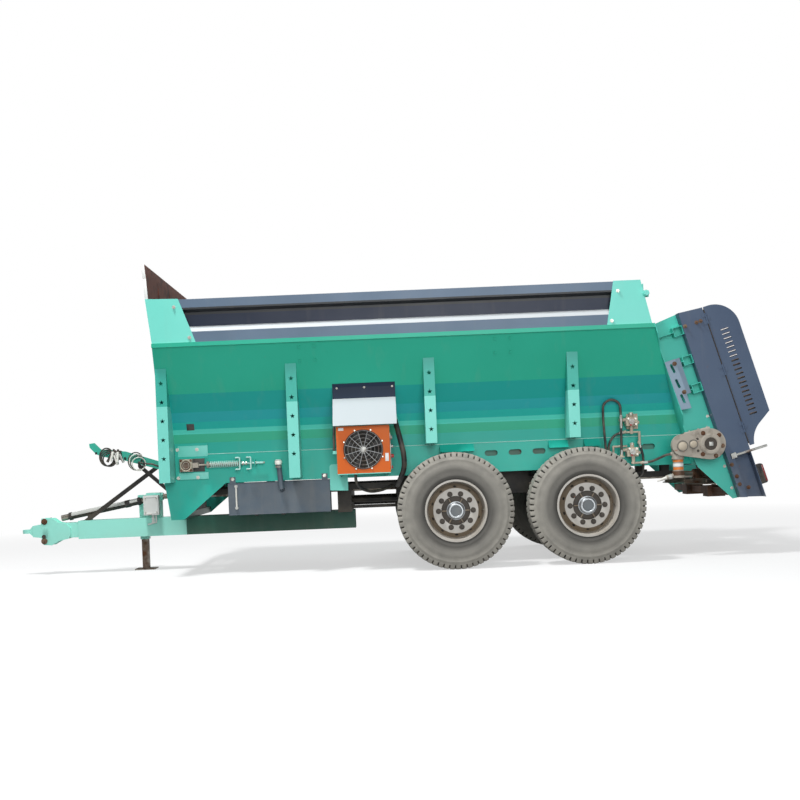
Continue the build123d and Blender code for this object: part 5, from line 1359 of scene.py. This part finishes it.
@dataclass
class ChainTakeUps(Section):
    """Idler bearings of the floor chain, with their tension rods and springs."""

    line: Pair = (0.895, 1.108)
    spring: Pair = (-3.045, -2.765)
    coil_radius: float = 0.029
    wire: float = 0.005
    turns: int = 14
    rod_ends: Pair = (-2.745, -2.512)
    nuts: tuple[float, ...] = (-3.052, -2.722, -2.690, -2.600)
    clips: Pair = (-2.745, -2.635)
    clip_y: float = 0.925
    clip_size: Pair = (0.038, 0.058)
    clip_wire: float = 0.0075
    guide_y: float = 0.858
    guides: tuple[tuple[Finish, Pair, Pair, float], ...] = (
        (GREEN_SUNLIT, (-3.366, 1.195), (-3.068, 1.303), 0.8655),
        (GREEN_SUNLIT, (-3.366, 0.967), (-3.068, 1.034), 0.8655),
        # Black pad: painted shade in the opening between the guides
        (BLACK_PLASTIC, (-3.362, 1.030), (-3.104, 1.199), 0.8645))
    bearing: Pair = (-3.279, 0.925)
    bearing_ring: Outline = ((0.031, 0.004), (0.036, 0.012), (0.042, 0.012), (0.045, 0.004), (0.045, -0.02),
                             (0.031, -0.02))
    bearing_lip: Outline = ((0.045, 0.008), (0.056, 0.014), (0.061, 0.006), (0.061, -0.02), (0.045, -0.02))
    screws: Outline = ((-0.047, -0.047), (0.047, -0.047), (-0.047, 0.047), (0.047, 0.047))

    def build(self) -> None:
        """Dress the bearings and build springs, guides, clips and nuts."""
        dress(CASTING, "chain_takeups")
        piece = Workpiece("takeup_springs")
        for side in Side:
            self.tension(piece, side.value)
            self.hold(piece, side.value)
        piece.finish()

    def tension(self, piece: Workpiece, sign: int) -> None:
        """Spring, rod, nuts and clips on one side.

        Args:
            piece: Piece under way.
            sign: Sign of the side.
        """
        y, z = sign * self.line[0], self.line[1]
        first, last = self.spring
        coil = wound(self.coil_radius, self.wire, self.turns, (last - first) / self.turns, 24)
        piece.add(coil, SPRING_STEEL, towards(self.at(first, y, z), (1, 0, 0)))
        first, last = self.rod_ends
        self.rod(piece, SPRING_STEEL, (first, y, z), (last, y, z), 0.0102)
        self.bolts(piece, BOLT_STEEL, 0.020, (1, 0, 0), *[(reach, y, z) for reach in self.nuts])
        for reach in self.clips:
            self.clip(piece, reach, sign)

    def hold(self, piece: Workpiece, sign: int) -> None:
        """Guide plates around a black pad, painted shade that stands for the opening, and the bearing in it,
        on one side.

        Args:
            piece: Piece under way.
            sign: Sign of the side.
        """
        for finish, (x0, z0), (x1, z1), depth in self.guides:
            self.pad(piece, finish, (x0, sign * self.guide_y, z0), (x1, sign * depth, z1), 0.001)
        (x, y), z = self.bearing, self.line[1]
        seat = towards(self.at(x, sign * y, z), (0, sign, 0))
        piece.add(turned(self.bearing_ring, 48, closed=True), OILY_RUST, seat)
        piece.add(turned(self.bearing_lip, 48, closed=True), VALVE_GREY, seat)
        self.bolts(piece, RUSTY_BOLT, 0.012, (0, sign, 0),
                   *[(x + away, sign * y, z + up) for away, up in self.screws])

    def clip(self, piece: Workpiece, reach: float, sign: int) -> None:
        """Bent round clip that holds the rod to the sill.

        Args:
            piece: Piece under way.
            reach: Reach of its upright.
            sign: Sign of the side.
        """
        y, z = sign * self.clip_y, self.line[1]
        deep, half = self.clip_size
        corners = [(reach - deep, z + half), (reach, z + half), (reach, z - half), (reach - deep, z - half)]
        for (x0, z0), (x1, z1) in zip(corners, corners[1:]):
            self.rod(piece, SPRING_STEEL, (x0, y, z0), (x1, y, z1), self.clip_wire, 10)
        for x, height in (corners[0], corners[-1]):
            self.rod(piece, SPRING_STEEL, (x, y, height), (x, sign * SILL_Y, height), self.clip_wire, 10)


@dataclass
class Valves(Section):
    """Valves of the floor drive on the left sill, with their hoses."""

    heights: Outline = ((1.361, 1.428), (1.063, 1.130))
    stem: Pair = (1.158, -0.935)
    face_y: float = -0.984
    screw_y: float = -0.980
    screws: Outline = ((1.122, 0.030), (1.192, 0.028), (1.196, -0.026))
    ports: Outline = ((1.112, -0.018), (1.206, 0.018))
    ferrules: tuple[tuple[Point, Point, float], ...] = (
        ((0.897, -0.952, 1.036), (0.896, -0.952, 1.085), 0.0155),
        ((1.047, -0.952, 1.036), (1.050, -0.952, 1.085), 0.0155),
        ((1.053, -0.952, 1.300), (1.055, -0.952, 1.430), 0.0150),
        ((1.236, -0.925, 1.142), (1.244, -0.925, 1.100), 0.0150),
        ((1.258, -0.960, 0.951), (1.300, -0.964, 0.953), 0.0155),
        ((1.075, -0.925, 1.257), (1.035, -0.925, 1.250), 0.0150))
    clamps: Pair = (1.330, 1.405)

    def build(self) -> None:
        """Dress the castings and hoses, and build knobs, unions and clamps."""
        dress(VALVE_GREY, "valve_blocks")
        dress(HOSE_RUBBER, "valve_hoses", "cooler_hoses")
        piece = Workpiece("valve_fittings")
        for z, top in self.heights:
            self.knobs(piece, z, top)
        for start, end, radius in self.ferrules:
            self.rod(piece, GREY_BAR, start, end, radius, 18)
        for z in self.clamps:
            self.rod(piece, BOLT_STEEL, (1.054, -0.952, z), (1.0545, -0.952, z + 0.012), 0.0175, 6)
        piece.finish()

    def knobs(self, piece: Workpiece, z: float, top: float) -> None:
        """Stem, knob, plug, screws and ports of one valve.

        Args:
            piece: Piece under way.
            z: Height of its middle.
            top: Height of its upper face.
        """
        x, y = self.stem
        self.rod(piece, BOLT_STEEL, (x, y, top), (x, y, top + 0.022), 0.014, 16, 0.011)
        y = self.face_y
        self.rod(piece, KNOB_RED, (1.143, y, z - 0.030), (1.143, -0.992, z - 0.030), 0.012)
        self.rod(piece, GREY_BAR, (1.150, y, z), (1.150, -0.996, z), 0.028, 24)
        self.bolts(piece, BOLT_STEEL, 0.010, (0, -1, 0),
                   *[(reach, self.screw_y, z + up) for reach, up in self.screws])
        for reach, away in self.ports:
            self.rod(piece, GREY_BAR, (reach, -0.925, z), (reach + away, -0.925, z), 0.020, 6)


@dataclass
class Hitch(Section):
    """Drawbar, hitch plates, PTO guard, control box and the arm for the hoses."""

    plate_y: float = 0.118
    plate_bolts: Outline = ((-4.960, 0.574), (-4.968, 0.366))
    plate_pin: Pair = (-4.970, 0.412)
    lid: Pair = (-3.880, -3.720)
    lid_inset: float = 0.012
    lid_heights: Pair = (0.618, 0.792)
    lid_bead: float = 0.004
    screw_inset: float = 0.022
    screw_heights: Pair = (0.780, 0.630)
    shaft_front: Point = (-4.804, 0, 0.599)
    shaft_rear: Point = (-3.875, 0, 0.763)
    shell_start: float = 0.085
    shell: Outline = ((0.0355, 0.0), (0.0375, 0.0), (0.0375, 0.76), (0.0355, 0.76))
    bells: tuple[Point, ...] = ((0.085, 0.030, 0.043), (0.70, 0.055, 0.040), (0.84, 0.025, 0.043))
    coupler_y: float = -0.137
    coupler_set: tuple[tuple[float, float, float, float, Finish], ...] = (
        (-4.190, 1.290, 0.10, -0.03, WHITE_PLASTIC), (-4.165, 1.275, 0.12, 0.02, GREY_BAR),
        (-4.140, 1.285, 0.11, -0.01, WHITE_PLASTIC), (-4.175, 1.250, 0.10, 0.03, WHITE_PLASTIC),
        (-4.122, 1.262, 0.09, 0.04, GREY_BAR), (-4.205, 1.262, 0.08, -0.05, HUB_DARK))
    coils: Outline = ((-4.296, 1.242), (-3.988, 1.185))
    rings: int = 4
    ring_radius: float = 0.094
    ring_shrink: float = 0.008
    ring_start: Point = (0.030, -0.112, -0.006)
    ring_step: Point = (0.012, -0.008, -0.010)
    hose_radius: float = 0.0072
    hose_shrink: float = 0.0014
    clamp_low: Point = (-4.190, -0.130, 1.200)
    clamp_high: Point = (-4.110, -0.0905, 1.300)
    lead: tuple[Point, ...] = ((-3.930, -0.114, 1.168), (-3.860, -0.114, 1.150), (-3.790, -0.114, 1.144),
                               (-3.700, -0.114, 1.108), (-3.600, -0.114, 1.076), (-3.516, -0.114, 1.072))
    lead_radius: float = 0.009

    def build(self) -> None:
        """Dress the front of the machine and build what is fixed to it."""
        dress(GREEN_BEAM, "drawbar_beam", "drawbar_eye", "front_gearbox", "jack_tube")
        dress(ARM_PAINT, "hose_arm")
        dress(BLACK, "chassis_frame", "axles", "leaf_springs", "pto_guard")
        dress(WORKED_STEEL, "driveline", "pto_shaft", "jack_leg")
        dress(GREY_PLASTIC, "control_box")
        piece = Workpiece("hitch_fittings")
        for side in Side:
            sign = side.value
            y = sign * self.plate_y
            self.bolts(piece, RUSTY_BOLT, 0.030, (0, sign, 0), *[(x, y, z) for x, z in self.plate_bolts],
                       thread=0.016)
            self.bolts(piece, HUB_DARK, 0.020, (0, sign, 0), (self.plate_pin[0], y, self.plate_pin[1]))
        self.control(piece)
        self.guard(piece)
        self.couplers(piece)
        piece.finish()
        self.loops()

    def control(self, piece: Workpiece) -> None:
        """Raised rim, clip and screws of the control box's lid.

        Args:
            piece: Piece under way.
        """
        face = low_high("control_box")[0].y
        left, right = [self.tandem + reach for reach in self.lid]
        (foot, head), inset = self.lid_heights, self.lid_inset
        fore, aft = left + inset, right - inset
        for (x0, z0), (x1, z1) in (((fore, foot), (aft, foot)), ((fore, head), (aft, head)),
                                   ((fore, foot), (fore, head)), ((aft, foot), (aft, head))):
            piece.add(bar((x0, face, z0), (x1, face, z1), self.lid_bead, 8), GREY_PLASTIC)
        piece.add(boxed((left + 0.045, face - 0.006, 0.606), (left + 0.085, face, 0.622)), WHITE_PLASTIC)
        inset = self.screw_inset
        piece.bolt(BOLT_STEEL, 0.008, (0, -1, 0),
                   *[(x, face, z) for z in self.screw_heights for x in (left + inset, right - inset)])

    def guard(self, piece: Workpiece) -> None:
        """Pale upper half as a painted highlight, bell ends and dark band of the PTO shaft's guard.

        Args:
            piece: Piece under way.
        """
        front, rear = Vector(self.at(*self.shaft_front)), Vector(self.at(*self.shaft_rear))
        along = (rear - front).normalized()
        half = turned(self.shell, 32, closed=True)
        bmesh.ops.bisect_plane(half, geom=half.verts[:] + half.edges[:] + half.faces[:], plane_co=(0, 0, 0),
                               plane_no=(-1, 0, 0), clear_outer=True)
        place = towards(front + along * self.shell_start, along)
        up = place.to_3x3().inverted() @ Vector((0, 0, 1))
        piece.add(half, GUARD_PAINTED_HIGHLIGHT, place @ Matrix.Rotation(atan2(up.y, up.x), 4, "Z"))
        for away, length, radius in self.bells:
            start = front + along * away
            piece.add(bar(start, start + along * length, radius, 28), BLACK_PLASTIC)

    def couplers(self, piece: Workpiece) -> None:
        """Bundle of hose couplers parked on the arm.

        Args:
            piece: Piece under way.
        """
        y = self.coupler_y
        for reach, z, drop, tilt, finish in self.coupler_set:
            self.rod(piece, finish, (reach, y, z), (reach + tilt, -0.150, z - drop), 0.017, 14, 0.014)
            self.rod(piece, HUB_DARK, (reach, y, z), (reach - tilt * 0.3, -0.134, z + 0.028), 0.012, 12)

    def loops(self) -> None:
        """Rings of spare hose hung on the arm, their clamp and the lead to them."""
        piece = Workpiece("arm_hose_loops")
        (x0, y0, z0), (dx, dy, dz) = self.ring_start, self.ring_step
        for number, (reach, z) in enumerate(self.coils):
            for ring in range(self.rings):
                spot = self.at(reach + x0 + dx * ring, y0 + dy * ring, z + z0 + dz * ring)
                swing = Matrix.Rotation(radians(52 - 9 * ring - 8 * number), 4, "Z")
                lean = Matrix.Rotation(radians(8 * ring - 14 + 20 * number), 4, "Y")
                upright = Matrix.Rotation(pi / 2, 4, "X")
                finish = WHITE_PLASTIC if number and ring % 2 else HOSE_RUBBER
                hose = wound(self.ring_radius - self.ring_shrink * ring,
                             self.hose_radius - self.hose_shrink * number, steps=40)
                piece.add(hose, finish, Matrix.Translation(spot) @ swing @ lean @ upright)
        self.pad(piece, HUB_DARK, self.clamp_low, self.clamp_high, 0.006)
        for start, end in zip(self.lead, self.lead[1:]):
            self.rod(piece, HOSE_RUBBER, start, end, self.lead_radius, 12)
        piece.finish(("arm_hoses",))


# ------------------------------------------------------------------ studio
class Lamp(Enum):
    """Soft lamps: place, aim, size across and power in watts."""

    KEY = ((-3.2, -3.9, 11.5), (0.3, -1.0, 1.2), 1.7, 1250.0)
    FILL = ((1.5, -12.5, 4.0), (0.3, -1.0, 1.2), 7.0, 780.0)
    BACK = ((1.0, 6.0, 7.5), (0.5, 0.0, 1.0), 6.0, 160.0)


@dataclass
class Studio:
    """Pale floor, soft lamps and the camera at the side of the machine."""

    tandem: float
    stand_off: float = 11.9
    eye_height: float = 1.082
    eye_reach: float = -1.3
    roll: float = 0.0415
    lens_mm: float = 49.68
    sensor_mm: float = 36.0
    shift: Pair = (0.01875, 0.075)
    sky_strength: float = 0.3
    fade: Pair = (5.0, 11.0)
    lift: float = 0.55
    unseen_floor: str = "#868686"

    def build(self) -> None:
        """Set the floor, the lamps, the world and the camera."""
        self.floor()
        self.lamps()
        self.world()
        self.camera()
        bpy.context.scene.view_settings.view_transform = "Standard"

    def floor(self) -> None:
        """Pale floor that keeps the machine's shadow and fades to white far out."""
        mesh = bmesh.new()
        bmesh.ops.create_grid(mesh, x_segments=1, y_segments=1, size=60)
        data = bpy.data.meshes.new("studio_floor")
        mesh.to_mesh(data)
        mesh.free()
        paint = Recipe("studio_floor_paint")
        place = paint.put("TexCoord").outputs["Object"]
        far = paint.put("VectorMath", {0: place}, operation="LENGTH").outputs["Value"]
        faded = paint.put("MapRange", {"Value": far, "From Min": self.fade[0], "From Max": self.fade[1],
                                       "To Min": self.lift}, clamp=True)
        path = paint.put("LightPath")
        seen = path.outputs["Is Camera Ray"]
        for ray in ("Is Glossy Ray", "Is Transmission Ray"):
            seen = paint.put("Math", {0: seen, 1: path.outputs[ray]}, operation="MAXIMUM").outputs[0]
        pale = paint.film(linear(self.unseen_floor), linear("#f2f2f2"), seen)
        near = paint.put("BsdfDiffuse", {"Color": pale}).outputs[0]
        white = paint.put("Emission", {"Color": (1, 1, 1, 1), "Strength": 1.0}).outputs[0]
        share = paint.put("Math", {0: faded.outputs["Result"], 1: seen}, operation="MULTIPLY").outputs[0]
        both = paint.put("MixShader", {0: share, 1: near, 2: white}).outputs[0]
        paint.put("OutputMaterial", {"Surface": both})
        data.materials.append(paint.material)
        floor = bpy.data.objects.new("studio_floor", data)
        bpy.context.scene.collection.objects.link(floor)

    def lamps(self) -> None:
        """Hang the lamps."""
        for lamp in Lamp:
            place, aim, size, power = lamp.value
            data = bpy.data.lights.new(lamp.name.lower() + "_lamp", "AREA")
            data.energy = power
            data.size = size
            hung = bpy.data.objects.new(data.name, data)
            hung.location = place
            hung.rotation_euler = (Vector(aim) - Vector(place)).to_track_quat("-Z", "Y").to_euler()
            bpy.context.scene.collection.objects.link(hung)

    def world(self) -> None:
        """Even grey light, seen as white behind the machine."""
        world = bpy.data.worlds.new("studio_world")
        bpy.context.scene.world = world
        sky = Recipe(world.name, world)
        path = sky.put("LightPath")
        seen = sky.put("Math", {0: path.outputs["Is Camera Ray"], 1: path.outputs["Is Transmission Ray"]},
                       operation="MAXIMUM").outputs[0]
        dim = sky.put("Background", {"Color": (0.95, 0.97, 1.0, 1), "Strength": self.sky_strength}).outputs[0]
        white = sky.put("Background", {"Color": (1, 1, 1, 1)}).outputs[0]
        mixed = sky.put("MixShader", {0: seen, 1: dim, 2: white}).outputs[0]
        sky.put("OutputWorld", {"Surface": mixed})

    def camera(self) -> None:
        """Camera level with the wheels, far out on the left side."""
        data = bpy.data.cameras.new("camera")
        data.sensor_width = self.sensor_mm
        data.lens = self.lens_mm
        data.shift_x, data.shift_y = self.shift
        right = Vector((1, 0, -self.roll)).normalized()
        up = Vector((self.roll, 0, 1)).normalized()
        turn = Matrix((right, up, right.cross(up))).transposed().to_4x4()
        camera = bpy.data.objects.new("camera", data)
        camera.matrix_world = Matrix.Translation((self.tandem + self.eye_reach, -self.stand_off,
                                                  self.eye_height)) @ turn
        bpy.context.scene.collection.objects.link(camera)
        bpy.context.scene.camera = camera


def main() -> None:
    """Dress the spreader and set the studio."""
    logging.basicConfig(level=logging.INFO, format="%(message)s")
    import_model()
    tandem = (middle("tyre_front_left").x + middle("tyre_rear_left").x) / 2
    for corner in Corner:
        Wheel(corner).build()
    for section in (Hopper, Extension, RearUnit, FloorDrive, Cooler, OilTank, ChainTakeUps, Valves, Hitch):
        section(tandem).build()
        LOG.info("%s dressed", section.__name__)
    Studio(tandem).build()


if __name__ == "__main__":
    main()
